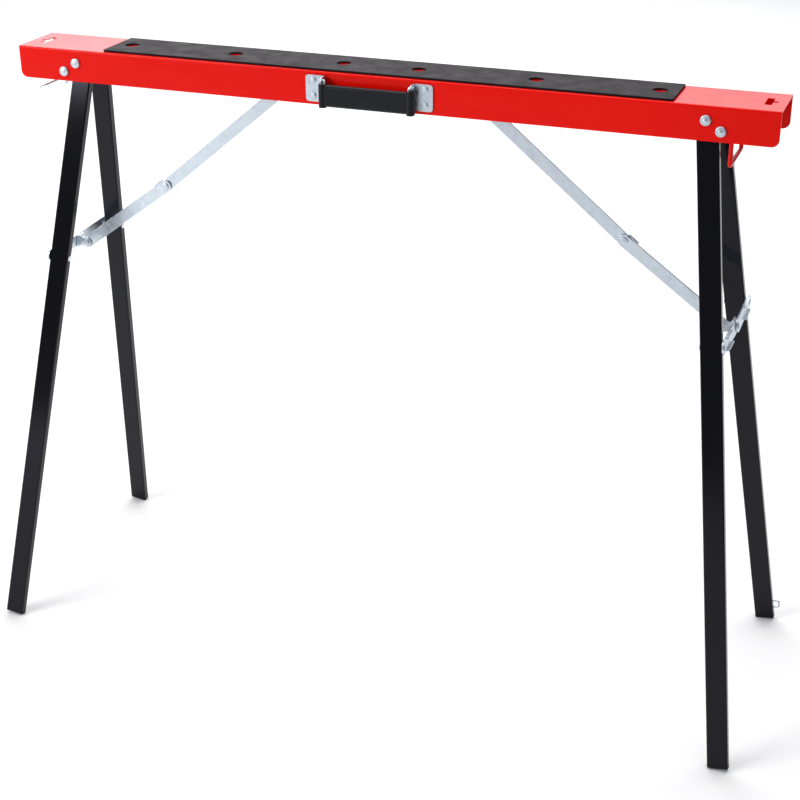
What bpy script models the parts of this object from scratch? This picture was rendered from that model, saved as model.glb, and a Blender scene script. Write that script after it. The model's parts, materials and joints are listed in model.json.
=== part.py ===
"""Folding steel sawhorse with a rubber-topped channel beam, four splayed legs and two locking braces.

Every leg pair folds inward about its fold bolt. The two pairs nest side by side inside the beam:
the left pair is the inner one and the right pair is the outer one.
"""
import math

import bmesh
import bpy
from mathutils import Vector

# ---- beam ----
BEAM_LENGTH = 1.000
BEAM_WIDTH = 0.084
BEAM_DEPTH = 0.0416
BEAM_WALL = 0.00125
BEAM_BEND = 0.0023
BEAM_CORNER = 0.009
GAP = 0.0003

# ---- legs ----
LEG_WIDTH = 0.0266
LEG_THICKNESS = 0.0112
LEG_WALL = 0.0013
LEG_CORNER = 0.0020
LEG_TOP_MARGIN = 0.006
CAP_HEIGHT = 0.004
CAP_PLUG = 0.014
CAP_PLUG_CORNER = 0.0006
CAP_CHAMFER = 0.0008
CAP_TAPER = 0.95
TILT_LEFT = math.radians(7.26)
TILT_RIGHT = math.radians(7.50)
SPLAY_LEFT = math.radians(11.95)
SPLAY_RIGHT = math.radians(11.12)
SPLAY_DROP = 0.012
NEST_LEFT = 0.0192
NEST_RIGHT = 0.0307

# ---- fold and stop bolts ----
FOLD_X = 0.4150
FOLD_Z = 0.7893
FOLD_BELOW_TOP = 0.017
STOP_OUT = 0.0166
STOP_DROP = 0.014
BOLT_RADIUS = 0.003
BOLT_CLEAR = 0.0033
BOLT_HEAD_RADIUS = 0.0066
BOLT_HEAD_HEIGHT = 0.0036
TUBE_RADIUS = 0.0045
TUBE_CLEAR = 0.0048

# ---- leg carriers ----
CARRIER_PLATE = 0.0012
CARRIER_TOP = 0.003
CARRIER_BOTTOM = 0.022
CARRIER_MARGIN = 0.0062
CARRIER_CORNER = 0.003
EAR_OUTER = 0.0095
EAR_RADIUS = 0.007
EAR_ROOT_DROP = 0.0082
EAR_BITE = 0.0006
SPLAY_RIVET_RADIUS = 0.0026

# ---- spreader links ----
LINK_DROP = 0.2650
LINK_SAG = 0.003
LINK_WIDTH = 0.0170
LINK_THICKNESS = 0.002
LINK_RIM_HEIGHT = 0.0032
LINK_RIM_THICKNESS = 0.0015
LINK_RIM_START = 0.0325
LINK_RIM_END = 0.011
LINK_RIVET_RADIUS = 0.0028
RIVET_HEAD_RADIUS = 0.0044
RIVET_HEAD_HEIGHT = 0.0013
RIVET_TAIL_RADIUS = 0.0038
RIVET_TAIL_HEIGHT = 0.0010

# ---- braces ----
ANCHOR_X = 0.111
ELBOW_SAG = math.radians(3.4)
BRACE_PIN_OUT = 0.0
STRAP_WIDTH = 0.0160
STRAP_THICKNESS = 0.0025
STRAP_HALF_GAP = 0.00015
PIN_RADIUS = 0.0025
PIN_CLEAR = 0.0028
CHEEK_INNER = 0.00295
CHEEK_THICKNESS = 0.002
CLEVIS_HALF = 0.009
CLEVIS_CORNER = 0.003
CLEVIS_CHEEK_RADIUS = 0.0068
CLEVIS_CHEEK_ROOT = 0.0058
BRACE_HEAD_RADIUS = 0.0045
ELBOW_HEAD_RADIUS = 0.0048
BRACE_HEAD_HEIGHT = 0.0016
ANCHOR_HALF_LENGTH = 0.010
ANCHOR_BASE = 0.0015
ANCHOR_BASE_MARGIN = 0.003
ANCHOR_CHEEK_RADIUS = 0.0065
ANCHOR_HEAD_RADIUS = 0.0042
ANCHOR_HEAD_HEIGHT = 0.0015
TAB_START = 0.005
TAB_END = 0.015
TAB_PROUD = 0.0024
TAB_THICKNESS = 0.0012

# ---- pad ----
PAD_LENGTH = 0.750
PAD_WIDTH = 0.074
PAD_THICKNESS = 0.0025
PAD_HOLE_RADIUS = 0.009
PAD_HOLES_X = (0.352, 0.201, 0.050)
PAD_CORNER = 0.002
WEB_HOLE_RADIUS = 0.0085

# ---- hanging slots in the web ----
SLOT_X = 0.4796
SLOT_HALF_X = 0.0042
SLOT_HALF_Y = 0.0150
SLOT_ARM_END = 0.0097
SLOT_ARM_HALF_Y = 0.0030

# ---- handle ----
HANDLE_PIVOT_OUT = 0.0090
HANDLE_PIVOT_DROP = 0.0080
HANDLE_WIRE = 0.0016
HANDLE_WIRE_BEND = 0.0023
HANDLE_WIRE_X = 0.0553
HANDLE_WIRE_END = 0.0616
HANDLE_WIRE_DEPTH = 0.0070
PLATE_INNER_X = 0.0580
PLATE_OUTER_X = 0.0840
PLATE_TOP = 0.0040
PLATE_BOTTOM = 0.0375
PLATE_CORNER = 0.004
PLATE_THICKNESS = 0.0015
PLATE_EAR_RADIUS = 0.0036
PLATE_RIVET_X = 0.0740
PLATE_RIVET_DROPS = (0.0103, 0.0300)
PLATE_RIVET_RADIUS = 0.0018
PLATE_RIVET_HEAD = 0.0036
PLATE_RIVET_HEIGHT = 0.0014
GRIP_HALF = 0.0580
GRIP_BOSS_IN = 0.0530
GRIP_BOSS_OUT = 0.0630
GRIP_TOP = 0.0120
GRIP_BOTTOM = 0.0415
GRIP_THICKNESS = 0.0120
GRIP_BOSS_CORNER = 0.0048
GRIP_SLAB_DROP = 0.0010
GRIP_SLAB_INSET = 0.0010
GRIP_SLAB_CORNER = 0.004

# ---- wire bail, keeper loop and foot clip ----
BAIL_WIRE = 0.0016
BAIL_Y = 0.0352
BAIL_REACH = 0.046
BAIL_DROP = 0.0275
BAIL_ELBOW_OUT = 0.001
BAIL_ELBOW_DROP = 0.017
BAIL_BEND = 0.005
BAIL_EYE_START = -15
BAIL_EYE_TURN = 255
BAIL_EYE_STEPS = 8
KEEPER_ROD = 0.0026
KEEPER_X = 0.4460
KEEPER_TOP = 0.020
KEEPER_DROP = 0.0695
KEEPER_BEND = 0.004
CLIP_UP = 0.0240
CLIP_OUT = 0.0085
CLIP_WIRE = 0.0013
CLIP_HALF = 0.006
CLIP_BEND = 0.004

# ---- middle of the bounding box, from the middle between the fold bolts ----
ORIGIN_X = 0.00522

SEGMENTS = 16
SMALL_SEGMENTS = 12
WEB_HOLE_SEGMENTS = 24
INSET = 0.00015
OVERCUT = 0.001
MERGE_DISTANCE = 0.00001
FLAT_ANGLE = 0.002
STRAIGHT_LIMIT = 1.0001
PIN_CHAMFER = 0.0002
OVERCUT_WEB = 0.004

# ---- derived places ----
BEAM_TOP = FOLD_Z + FOLD_BELOW_TOP
HALF_WIDTH = BEAM_WIDTH / 2
LEG_FACE = LEG_WIDTH / 2
FRONT_LINK_X = LEG_FACE + GAP
BACK_LINK_X = FRONT_LINK_X + LINK_THICKNESS + GAP
CENTRE_DROP = LINK_DROP + LINK_SAG
ANCHOR_Z = FOLD_Z
WEB_UNDER = BEAM_TOP - BEAM_WALL
HANDLE_Y = -HALF_WIDTH - HANDLE_PIVOT_OUT
HANDLE_Z = BEAM_TOP - HANDLE_PIVOT_DROP

FINISHES = {
    "red": ((0.78, 0.035, 0.018, 1.0), 0.0, 0.30),
    "black": ((0.012, 0.012, 0.014, 1.0), 0.0, 0.22),
    "zinc": ((0.66, 0.69, 0.73, 1.0), 1.0, 0.30),
    "rubber": ((0.045, 0.045, 0.048, 1.0), 0.0, 0.75),
    "plastic": ((0.02, 0.021, 0.023, 1.0), 0.0, 0.45),
}


def clear_scene():
    for item in list(bpy.data.objects):
        bpy.data.objects.remove(item, do_unlink=True)


def material_for(name, finish):
    colour, metallic, roughness = FINISHES[finish]
    material = bpy.data.materials.new(name + "_" + finish)
    material.use_nodes = True
    shader = material.node_tree.nodes["Principled BSDF"]
    shader.inputs["Base Color"].default_value = colour
    shader.inputs["Metallic"].default_value = metallic
    shader.inputs["Roughness"].default_value = roughness
    return material


def mesh_object(name, verts, faces):
    mesh = bpy.data.meshes.new(name)
    mesh.from_pydata([tuple(v) for v in verts], [], faces)
    work = bmesh.new()
    work.from_mesh(mesh)
    bmesh.ops.recalc_face_normals(work, faces=work.faces)
    work.to_mesh(mesh)
    work.free()
    item = bpy.data.objects.new(name, mesh)
    bpy.context.collection.objects.link(item)
    return item


def drop(item):
    mesh = item.data
    bpy.data.objects.remove(item, do_unlink=True)
    bpy.data.meshes.remove(mesh)


def combine(target, tools, operation):
    """Apply one exact boolean per tool to the target, and remove the tools."""
    for tool in tools:
        step = target.modifiers.new("step", "BOOLEAN")
        step.operation = operation
        step.solver = "EXACT"
        step.object = tool
        bpy.context.view_layer.update()
        graph = bpy.context.evaluated_depsgraph_get()
        result = bpy.data.meshes.new_from_object(target.evaluated_get(graph))
        target.modifiers.clear()
        old = target.data
        target.data = result
        bpy.data.meshes.remove(old)
        drop(tool)
    return target


def cut(target, tools):
    return combine(target, tools, "DIFFERENCE")


def fuse(target, tools):
    return combine(target, tools, "UNION")


def finish(item, name, finish_name, origin, smooth_angle=math.radians(35)):
    """Name the object, weld and clean it, set its origin, shading and material."""
    item.name = name
    mesh = item.data
    mesh.name = name
    work = bmesh.new()
    work.from_mesh(mesh)
    bmesh.ops.remove_doubles(work, verts=work.verts, dist=MERGE_DISTANCE)
    bmesh.ops.dissolve_limit(work, angle_limit=FLAT_ANGLE, verts=work.verts, edges=work.edges)
    bmesh.ops.recalc_face_normals(work, faces=work.faces)
    pivot = Vector(origin)
    for vert in work.verts:
        vert.co -= pivot
    for face in work.faces:
        face.smooth = True
    for edge in work.edges:
        edge.smooth = len(edge.link_faces) == 2 and edge.calc_face_angle(0) < smooth_angle
    work.to_mesh(mesh)
    work.free()
    item.location = pivot - Vector((ORIGIN_X, 0, 0))
    mesh.materials.clear()
    mesh.materials.append(material_for(name, finish_name))
    return item


def loft(name, rings):
    """Closed solid through rings of equal vertex count, capped at both ends."""
    count = len(rings[0])
    verts = [v for ring in rings for v in ring]
    faces = [list(range(count))]
    for r in range(len(rings) - 1):
        for i in range(count):
            j = (i + 1) % count
            faces.append([r * count + i, r * count + j, (r + 1) * count + j, (r + 1) * count + i])
    faces.append([(len(rings) - 1) * count + i for i in range(count)])
    return mesh_object(name, verts, faces)


def prism(outline, place, low, high):
    """Extrude a 2-D outline between two depths; place(a, b, depth) gives the point."""
    rings = [[place(a, b, depth) for a, b in outline] for depth in (low, high)]
    return loft("prism", rings)


def tube_prism(outer, inner, place, low, high):
    """Extrude a ring-shaped section with a straight hole through it."""
    count = len(outer)
    verts = []
    for depth in (low, high):
        verts.extend(place(a, b, depth) for a, b in outer)
        verts.extend(place(a, b, depth) for a, b in inner)
    faces = []
    top = 2 * count
    for i in range(count):
        j = (i + 1) % count
        faces.append([i, j, top + j, top + i])
        faces.append([count + j, count + i, top + count + i, top + count + j])
        faces.append([i, j, count + j, count + i])
        faces.append([top + j, top + i, top + count + i, top + count + j])
    return mesh_object("tube", verts, faces)


def arc(centre_a, centre_b, radius, start, end, steps):
    points = []
    for k in range(steps + 1):
        angle = math.radians(start + (end - start) * k / steps)
        points.append((centre_a + radius * math.cos(angle), centre_b + radius * math.sin(angle)))
    return points


def circle(centre_a, centre_b, radius, steps=SEGMENTS):
    step = 360 / steps
    return arc(centre_a, centre_b, radius, step / 2, 360 - step / 2, steps - 1)


def rounded(low_a, low_b, high_a, high_b, radius, steps=2):
    points = arc(high_a - radius, high_b - radius, radius, 0, 90, steps)
    points += arc(low_a + radius, high_b - radius, radius, 90, 180, steps)
    points += arc(low_a + radius, low_b + radius, radius, 180, 270, steps)
    points += arc(high_a - radius, low_b + radius, radius, 270, 360, steps)
    return points


def strap_outline(length, width, steps=6):
    """Flat bar outline from pin to pin, with round ends."""
    half = width / 2
    return arc(0, 0, half, 90, 270, steps) + arc(length, 0, half, -90, 90, steps)


def revolve(profile, place, steps=SEGMENTS):
    """Solid of revolution; profile is (radius, depth) pairs, the first and last on the axis."""
    rings = []
    for radius, depth in profile[1:-1]:
        ring = [place(radius * math.cos(2 * math.pi * k / steps),
                      radius * math.sin(2 * math.pi * k / steps), depth) for k in range(steps)]
        rings.append(ring)
    verts = [v for ring in rings for v in ring]
    faces = []
    for r in range(len(rings) - 1):
        for i in range(steps):
            j = (i + 1) % steps
            faces.append([r * steps + i, r * steps + j, (r + 1) * steps + j, (r + 1) * steps + i])
    first = len(verts)
    verts.append(place(0, 0, profile[0][1]))
    verts.append(place(0, 0, profile[-1][1]))
    last_ring = (len(rings) - 1) * steps
    for i in range(steps):
        j = (i + 1) % steps
        faces.append([first, j, i])
        faces.append([first + 1, last_ring + i, last_ring + j])
    return mesh_object("round", verts, faces)


def dome_profile(shank_radius, shank_end, head_start, head_radius, head_height, shank_chamfer=0.0004):
    """Profile of a domed head at head_start, with a shank running to shank_end."""
    away = 1 if head_start > shank_end else -1
    profile = [(0, shank_end), (shank_radius - shank_chamfer, shank_end)]
    profile.append((shank_radius, shank_end + away * shank_chamfer))
    profile.append((shank_radius, head_start))
    profile.append((head_radius, head_start))
    for share, rise in ((1.0, 0.30), (0.85, 0.78), (0.5, 1.0)):
        profile.append((head_radius * share, head_start + away * head_height * rise))
    profile.append((0, head_start + away * head_height))
    return profile


def dome_rings(radius, seat, rise):
    """Domed head from its seat to the axis."""
    points = [(radius * share, seat + rise * level)
              for share, level in ((1, 0), (1, 0.25), (0.85, 0.75), (0.5, 1))]
    return points + [(0, seat + rise)]


def sweep(points, radius, steps=6):
    """Round wire along a path of points."""
    points = [Vector(p) for p in points]
    rings = []
    normal = None
    for i, point in enumerate(points):
        before = points[max(i - 1, 0)]
        after = points[min(i + 1, len(points) - 1)]
        direction = (after - before).normalized()
        if normal is None:
            seed = Vector((0.31, 0.87, 0.38))
            normal = (seed - direction * seed.dot(direction)).normalized()
        else:
            normal = (normal - direction * normal.dot(direction)).normalized()
        side = direction.cross(normal)
        stretch = 1.0
        if 0 < i < len(points) - 1:
            turn = (point - before).angle(after - point)
            stretch = 1.0 / math.cos(turn / 2)
            bend = ((after - point).normalized() - (point - before).normalized())
        ring = []
        for k in range(steps):
            angle = 2 * math.pi * k / steps
            offset = normal * (radius * math.cos(angle)) + side * (radius * math.sin(angle))
            if stretch > STRAIGHT_LIMIT:
                outward = bend.normalized()
                offset += outward * (offset.dot(outward) * (stretch - 1.0))
            ring.append(point + offset)
        rings.append(ring)
    return loft("wire", rings)


def fillet_path(corners, radius, steps=3):
    """Round the inner corners of a path."""
    corners = [Vector(c) for c in corners]
    path = [corners[0]]
    for before, corner, after in zip(corners, corners[1:], corners[2:]):
        into = (corner - before).normalized()
        out = (after - corner).normalized()
        turn = into.angle(out)
        reach = radius * math.tan(turn / 2)
        start = corner - into * reach
        centre = start + (out - into * out.dot(into)).normalized() * radius
        arm = start - centre
        axis = into.cross(out).normalized()
        for k in range(steps + 1):
            angle = turn * k / steps
            path.append(centre + arm * math.cos(angle) + axis.cross(arm) * math.sin(angle))
    path.append(corners[-1])
    return path


# ---- placing helpers ----
def along_y(a, b, depth):
    return (a, depth, b)


def along_z(a, b, depth):
    return (a, b, depth)


def along_x(a, b, depth):
    return (depth, a, b)


def leg_section():
    """Outline of the leg tube: a across the sawhorse's length, b across its width."""
    half_w = LEG_WIDTH / 2
    half_t = LEG_THICKNESS / 2
    return rounded(-half_w, -half_t, half_w, half_t, LEG_CORNER)


class End:
    """One end of the sawhorse: sign is -1 at the left and +1 at the right."""

    def __init__(self, name, sign, nest, tilt, splay):
        self.name = name
        self.sign = sign
        self.nest = nest
        self.tilt = tilt
        self.splay = splay
        self.origin = (sign * FOLD_X, 0.0, FOLD_Z)
        self.leg_length = self.find_leg_length()
        self.rivet_down = (LINK_DROP - SPLAY_DROP) / math.cos(splay)
        self.rivet_y = nest + self.rivet_down * math.sin(splay)
        self.link_length = math.hypot(self.rivet_y, LINK_SAG)
        self.elbow = self.find_elbow()

    def find_leg_length(self):
        """Length from the splay rivet for which the cap's lowest corner touches the floor."""
        fall = math.sin(self.splay) * math.cos(self.tilt)
        corner = max(-a * math.sin(self.tilt) - b * fall for a, b in leg_section()) * CAP_TAPER
        room = FOLD_Z - SPLAY_DROP * math.cos(self.tilt) - corner
        return room / (math.cos(self.splay) * math.cos(self.tilt))

    def find_elbow(self):
        """Elbow place (x, z) for which the brace folds flat along the beam with the legs.

        The straps' lengths differ by the distance from the anchor to the folded clevis.
        """
        rise = math.sqrt(self.link_length ** 2 - self.nest ** 2)
        folded_drop = SPLAY_DROP + self.rivet_down - rise
        difference = FOLD_X - folded_drop - ANCHOR_X
        pin = self.point(BRACE_PIN_OUT, 0, CENTRE_DROP)
        run = abs(pin[0]) - ANCHOR_X
        fall = ANCHOR_Z - pin[2]
        reach = math.hypot(run, fall)
        half_sag = ELBOW_SAG / 2
        total = math.sqrt(reach ** 2 - (difference * math.sin(half_sag)) ** 2) / math.cos(half_sag)
        upper = (total + difference) / 2
        lower = (total - difference) / 2
        at_anchor = math.acos((upper ** 2 + reach ** 2 - lower ** 2) / (2 * upper * reach))
        slope = math.atan2(fall, run) + at_anchor
        return (self.sign * (ANCHOR_X + upper * math.cos(slope)), ANCHOR_Z - upper * math.sin(slope))

    def point(self, out, y, drop_):
        """World point from the tilted end frame: out from the leg axis, and down along it."""
        x = FOLD_X + out * math.cos(self.tilt) + drop_ * math.sin(self.tilt)
        z = FOLD_Z + out * math.sin(self.tilt) - drop_ * math.cos(self.tilt)
        return (self.sign * x, y, z)

    def leg_point(self, side, out, across, down):
        """World point in a leg's own frame; side is -1 for the front leg and +1 for the back."""
        y = self.nest + across * math.cos(self.splay) + down * math.sin(self.splay)
        drop_ = SPLAY_DROP + down * math.cos(self.splay) - across * math.sin(self.splay)
        return self.point(out, side * y, drop_)

    def splay_origin(self, side):
        return self.point(0, side * self.nest, SPLAY_DROP)

    def link_origin(self, side):
        return self.leg_point(side, FRONT_LINK_X, 0, self.rivet_down)

    def link_point(self, side, out, a, b):
        """World point on a link: a runs from the leg rivet to the centre, b across it."""
        y_step = -side * self.rivet_y / self.link_length
        drop_step = LINK_SAG / self.link_length
        y = side * self.rivet_y + a * y_step + b * drop_step
        drop_ = LINK_DROP + a * drop_step - b * y_step
        return self.point(out, y, drop_)


def stop_place(end):
    x, _, z = end.point(STOP_OUT, 0, STOP_DROP)
    return (x, z)


# ---- parts of the beam ----
def build_beam(ends):
    half = HALF_WIDTH
    depth = BEAM_DEPTH
    inner = half - BEAM_WALL
    bend = BEAM_BEND
    outer_arc_right = arc(half - bend, BEAM_TOP - bend, bend, 0, 90, 4)
    outer_arc_left = arc(-half + bend, BEAM_TOP - bend, bend, 90, 180, 4)
    inner_bend = bend - BEAM_WALL
    inner_arc_left = arc(-half + bend, BEAM_TOP - bend, inner_bend, 180, 90, 4)
    inner_arc_right = arc(half - bend, BEAM_TOP - bend, inner_bend, 90, 0, 4)
    bottom = BEAM_TOP - depth
    section = [(half, bottom)] + outer_arc_right + outer_arc_left + [(-half, bottom), (-inner, bottom)]
    section += inner_arc_left + inner_arc_right + [(inner, bottom)]
    beam = prism(section, along_x, -BEAM_LENGTH / 2, BEAM_LENGTH / 2)
    tools = []
    over = 2 * OVERCUT
    for end in ends:
        tip = end.sign * BEAM_LENGTH / 2
        corner_x = tip - end.sign * BEAM_CORNER
        corner_z = bottom + BEAM_CORNER
        start = 270
        finish_angle = 360 if end.sign > 0 else 180
        curve = arc(corner_x, corner_z, BEAM_CORNER, start, finish_angle, 6)
        outside = [(tip + end.sign * over, corner_z), (tip + end.sign * over, bottom - over),
                   (corner_x, bottom - over)]
        tools.append(prism(curve + outside, along_y, -half - over, half + over))
        for x, z in ((end.origin[0], FOLD_Z), stop_place(end)):
            tools.append(prism(circle(x, z, BOLT_CLEAR), along_y, -half - over, half + over))
        tools.append(key_slot(end))
        for x in PAD_HOLES_X:
            tools.append(prism(circle(end.sign * x, 0, WEB_HOLE_RADIUS, WEB_HOLE_SEGMENTS), along_z,
                               BEAM_TOP - OVERCUT_WEB, BEAM_TOP + OVERCUT_WEB))
    return cut(beam, tools)


def key_slot(end):
    """Cutter for the hanging slot in the top web: a long slot across, with a short arm outwards."""
    s = end.sign
    low = SLOT_X - SLOT_HALF_X
    high = SLOT_X + SLOT_HALF_X
    tip = SLOT_X + SLOT_ARM_END
    outline = [(low, -SLOT_HALF_Y), (high, -SLOT_HALF_Y), (high, -SLOT_ARM_HALF_Y), (tip, -SLOT_ARM_HALF_Y),
               (tip, SLOT_ARM_HALF_Y), (high, SLOT_ARM_HALF_Y), (high, SLOT_HALF_Y), (low, SLOT_HALF_Y)]
    return prism([(s * a, b) for a, b in outline], along_z, BEAM_TOP - OVERCUT_WEB, BEAM_TOP + OVERCUT_WEB)


def build_pad():
    half_x = PAD_LENGTH / 2
    half_y = PAD_WIDTH / 2
    low = BEAM_TOP + GAP
    high = low + PAD_THICKNESS
    pad = prism(rounded(-half_x, -half_y, half_x, half_y, PAD_CORNER), along_z, low, high)
    tools = [prism(circle(sign * x, 0, PAD_HOLE_RADIUS, WEB_HOLE_SEGMENTS),
                   along_z, low - OVERCUT, high + OVERCUT)
             for x in PAD_HOLES_X for sign in (-1, 1)]
    return cut(pad, tools)


def head_profile(radius, start, away):
    """Domed head outline from its seat outwards, ending on the axis."""
    points = [(radius * share, start + away * BOLT_HEAD_HEIGHT * rise)
              for share, rise in ((1.0, 0.0), (1.0, 0.35), (0.85, 0.78), (0.5, 1.0))]
    return points + [(0, start + away * BOLT_HEAD_HEIGHT)]


def build_bolt(x, z):
    """Through pin with a round head at each end."""
    seat = HALF_WIDTH + GAP
    front = head_profile(BOLT_HEAD_RADIUS, -seat, -1)[::-1]
    back = head_profile(BOLT_HEAD_RADIUS, seat, 1)
    profile = front + [(BOLT_RADIUS, -seat), (BOLT_RADIUS, seat)] + back
    return revolve(profile, lambda a, b, depth: (x + a, depth, z + b))


def build_fold_tube(end):
    """Bearing tube round the fold pin, which the carrier's ears turn on."""
    reach = HALF_WIDTH - BEAM_WALL - GAP
    x = end.origin[0]
    return tube_prism(circle(x, FOLD_Z, TUBE_RADIUS), circle(x, FOLD_Z, BOLT_CLEAR), along_y, -reach, reach)


def build_anchor(end):
    """Saddle under the web that carries the top pin of a brace."""
    x = end.sign * ANCHOR_X
    top = WEB_UNDER - GAP
    half = CHEEK_INNER + CHEEK_THICKNESS
    base_y = half + ANCHOR_BASE_MARGIN
    base = prism([(x - ANCHOR_HALF_LENGTH, -base_y), (x + ANCHOR_HALF_LENGTH, -base_y),
                  (x + ANCHOR_HALF_LENGTH, base_y), (x - ANCHOR_HALF_LENGTH, base_y)],
                 along_z, top - ANCHOR_BASE, top)
    cheeks = []
    root = top - ANCHOR_BASE + 2 * INSET
    for side in (-1, 1):
        outline = arc(x, ANCHOR_Z, ANCHOR_CHEEK_RADIUS, 180, 360, 8)
        outline += [(x + ANCHOR_CHEEK_RADIUS, root), (x - ANCHOR_CHEEK_RADIUS, root)]
        low, high = sorted((side * CHEEK_INNER, side * half))
        cheeks.append(prism(outline, along_y, low, high))
    body = fuse(base, cheeks)
    return cut(body, [prism(circle(x, ANCHOR_Z, PIN_CLEAR), along_y, -half - OVERCUT, half + OVERCUT)])


def build_anchor_pin(end):
    x = end.sign * ANCHOR_X
    half = CHEEK_INNER + CHEEK_THICKNESS + GAP
    profile = dome_profile(PIN_RADIUS, half + ANCHOR_HEAD_HEIGHT, -half,
                           ANCHOR_HEAD_RADIUS, ANCHOR_HEAD_HEIGHT)
    return revolve(profile, lambda a, b, depth: (x + a, depth, ANCHOR_Z + b), SMALL_SEGMENTS)


def build_handle_plate(sign):
    """Bracket plate with an ear, turned forward at its inner edge, for the grip's wire."""
    front = -HALF_WIDTH - GAP - PLATE_THICKNESS
    back = -HALF_WIDTH - GAP
    xs = sorted((sign * PLATE_INNER_X, sign * PLATE_OUTER_X))
    outline = rounded(xs[0], BEAM_TOP - PLATE_BOTTOM, xs[1], BEAM_TOP - PLATE_TOP, PLATE_CORNER)
    plate = prism(outline, along_y, front, back)
    ear_x = sorted((sign * (PLATE_INNER_X + INSET), sign * (PLATE_INNER_X + PLATE_THICKNESS)))
    ear = arc(HANDLE_Y, HANDLE_Z, PLATE_EAR_RADIUS, 90, 270, 8)
    ear += [(back - INSET, HANDLE_Z - PLATE_EAR_RADIUS), (back - INSET, HANDLE_Z + PLATE_EAR_RADIUS - INSET)]
    body = fuse(plate, [prism(ear, along_x, ear_x[0], ear_x[1])])
    tools = [prism(circle(HANDLE_Y, HANDLE_Z, HANDLE_WIRE + GAP),
                   along_x, ear_x[0] - OVERCUT, ear_x[1] + OVERCUT)]
    for drop_ in PLATE_RIVET_DROPS:
        hole = circle(sign * PLATE_RIVET_X, BEAM_TOP - drop_, PLATE_RIVET_RADIUS + GAP, SMALL_SEGMENTS)
        tools.append(prism(hole, along_y, front - OVERCUT, back + OVERCUT))
    return cut(body, tools)


def build_plate_rivet(sign, drop_):
    head = -HALF_WIDTH - GAP - PLATE_THICKNESS - GAP
    tail = -HALF_WIDTH - GAP / 2
    profile = dome_profile(PLATE_RIVET_RADIUS, tail, head, PLATE_RIVET_HEAD, PLATE_RIVET_HEIGHT, PIN_CHAMFER)
    x = sign * PLATE_RIVET_X
    return revolve(profile, lambda a, b, depth: (x + a, depth, BEAM_TOP - drop_ + b), SMALL_SEGMENTS)


def build_handle_pin(sign):
    """Bent wire: up out of the grip's post, then outwards through the plate's ear."""
    x = sign * HANDLE_WIRE_X
    root = BEAM_TOP - GRIP_TOP - HANDLE_WIRE_DEPTH
    corners = [(x, HANDLE_Y, root), (x, HANDLE_Y, HANDLE_Z), (sign * HANDLE_WIRE_END, HANDLE_Y, HANDLE_Z)]
    return sweep(fillet_path(corners, HANDLE_WIRE_BEND, 4), HANDLE_WIRE, 8)


def build_grip():
    """Flat carry grip with a round post at each end; a blind hole in each post takes the wire."""
    top = BEAM_TOP - GRIP_TOP
    bottom = BEAM_TOP - GRIP_BOTTOM
    half = GRIP_THICKNESS / 2
    slab_half = half - GRIP_SLAB_INSET
    slab_outline = rounded(HANDLE_Y - slab_half, bottom + GRIP_SLAB_DROP,
                           HANDLE_Y + slab_half, top - GRIP_SLAB_DROP,
                           GRIP_SLAB_CORNER, 4)
    slab = prism(slab_outline, along_x, -GRIP_HALF, GRIP_HALF)
    posts = []
    holes = []
    for sign in (-1, 1):
        ends = sorted((sign * GRIP_BOSS_IN, sign * GRIP_BOSS_OUT))
        outline = rounded(ends[0], HANDLE_Y - half, ends[1], HANDLE_Y + half, GRIP_BOSS_CORNER, 5)
        posts.append(prism(outline, along_z, bottom, top))
        hole = circle(sign * HANDLE_WIRE_X, HANDLE_Y, HANDLE_WIRE + GAP, SMALL_SEGMENTS)
        holes.append(prism(hole, along_z, top - HANDLE_WIRE_DEPTH - OVERCUT, top + OVERCUT))
    return cut(fuse(slab, posts), holes)


def build_keeper():
    """Red rod loop welded inside the flanges at the right end."""
    y = HALF_WIDTH - BEAM_WALL - GAP - KEEPER_ROD
    bottom = BEAM_TOP - KEEPER_DROP
    corners = [(KEEPER_X, -y, BEAM_TOP - KEEPER_TOP), (KEEPER_X, -y, bottom), (KEEPER_X, y, bottom),
               (KEEPER_X, y, BEAM_TOP - KEEPER_TOP)]
    return sweep(fillet_path(corners, KEEPER_BEND), KEEPER_ROD, 8)


def build_bail(end):
    """Spring-wire catch on the left stop bolt."""
    x, z = stop_place(end)
    eye = BOLT_CLEAR + BAIL_WIRE
    half = []
    for k in range(BAIL_EYE_STEPS + 1):
        angle = math.radians(BAIL_EYE_START + BAIL_EYE_TURN * k / BAIL_EYE_STEPS)
        half.append((x + eye * math.cos(angle), -BAIL_Y, z + eye * math.sin(angle)))
    tip_x = x - BAIL_REACH
    tip_z = z - BAIL_DROP
    arm = [half[-1], (x - BAIL_ELBOW_OUT, -BAIL_Y, z - BAIL_ELBOW_DROP),
           (tip_x, -BAIL_Y, tip_z), (tip_x, 0, tip_z)]
    front = half[:-1] + [tuple(p) for p in fillet_path(arm, BAIL_BEND)[:-1]]
    back = [(px, -py, pz) for px, py, pz in front][::-1]
    return sweep(front + back, BAIL_WIRE)


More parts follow.
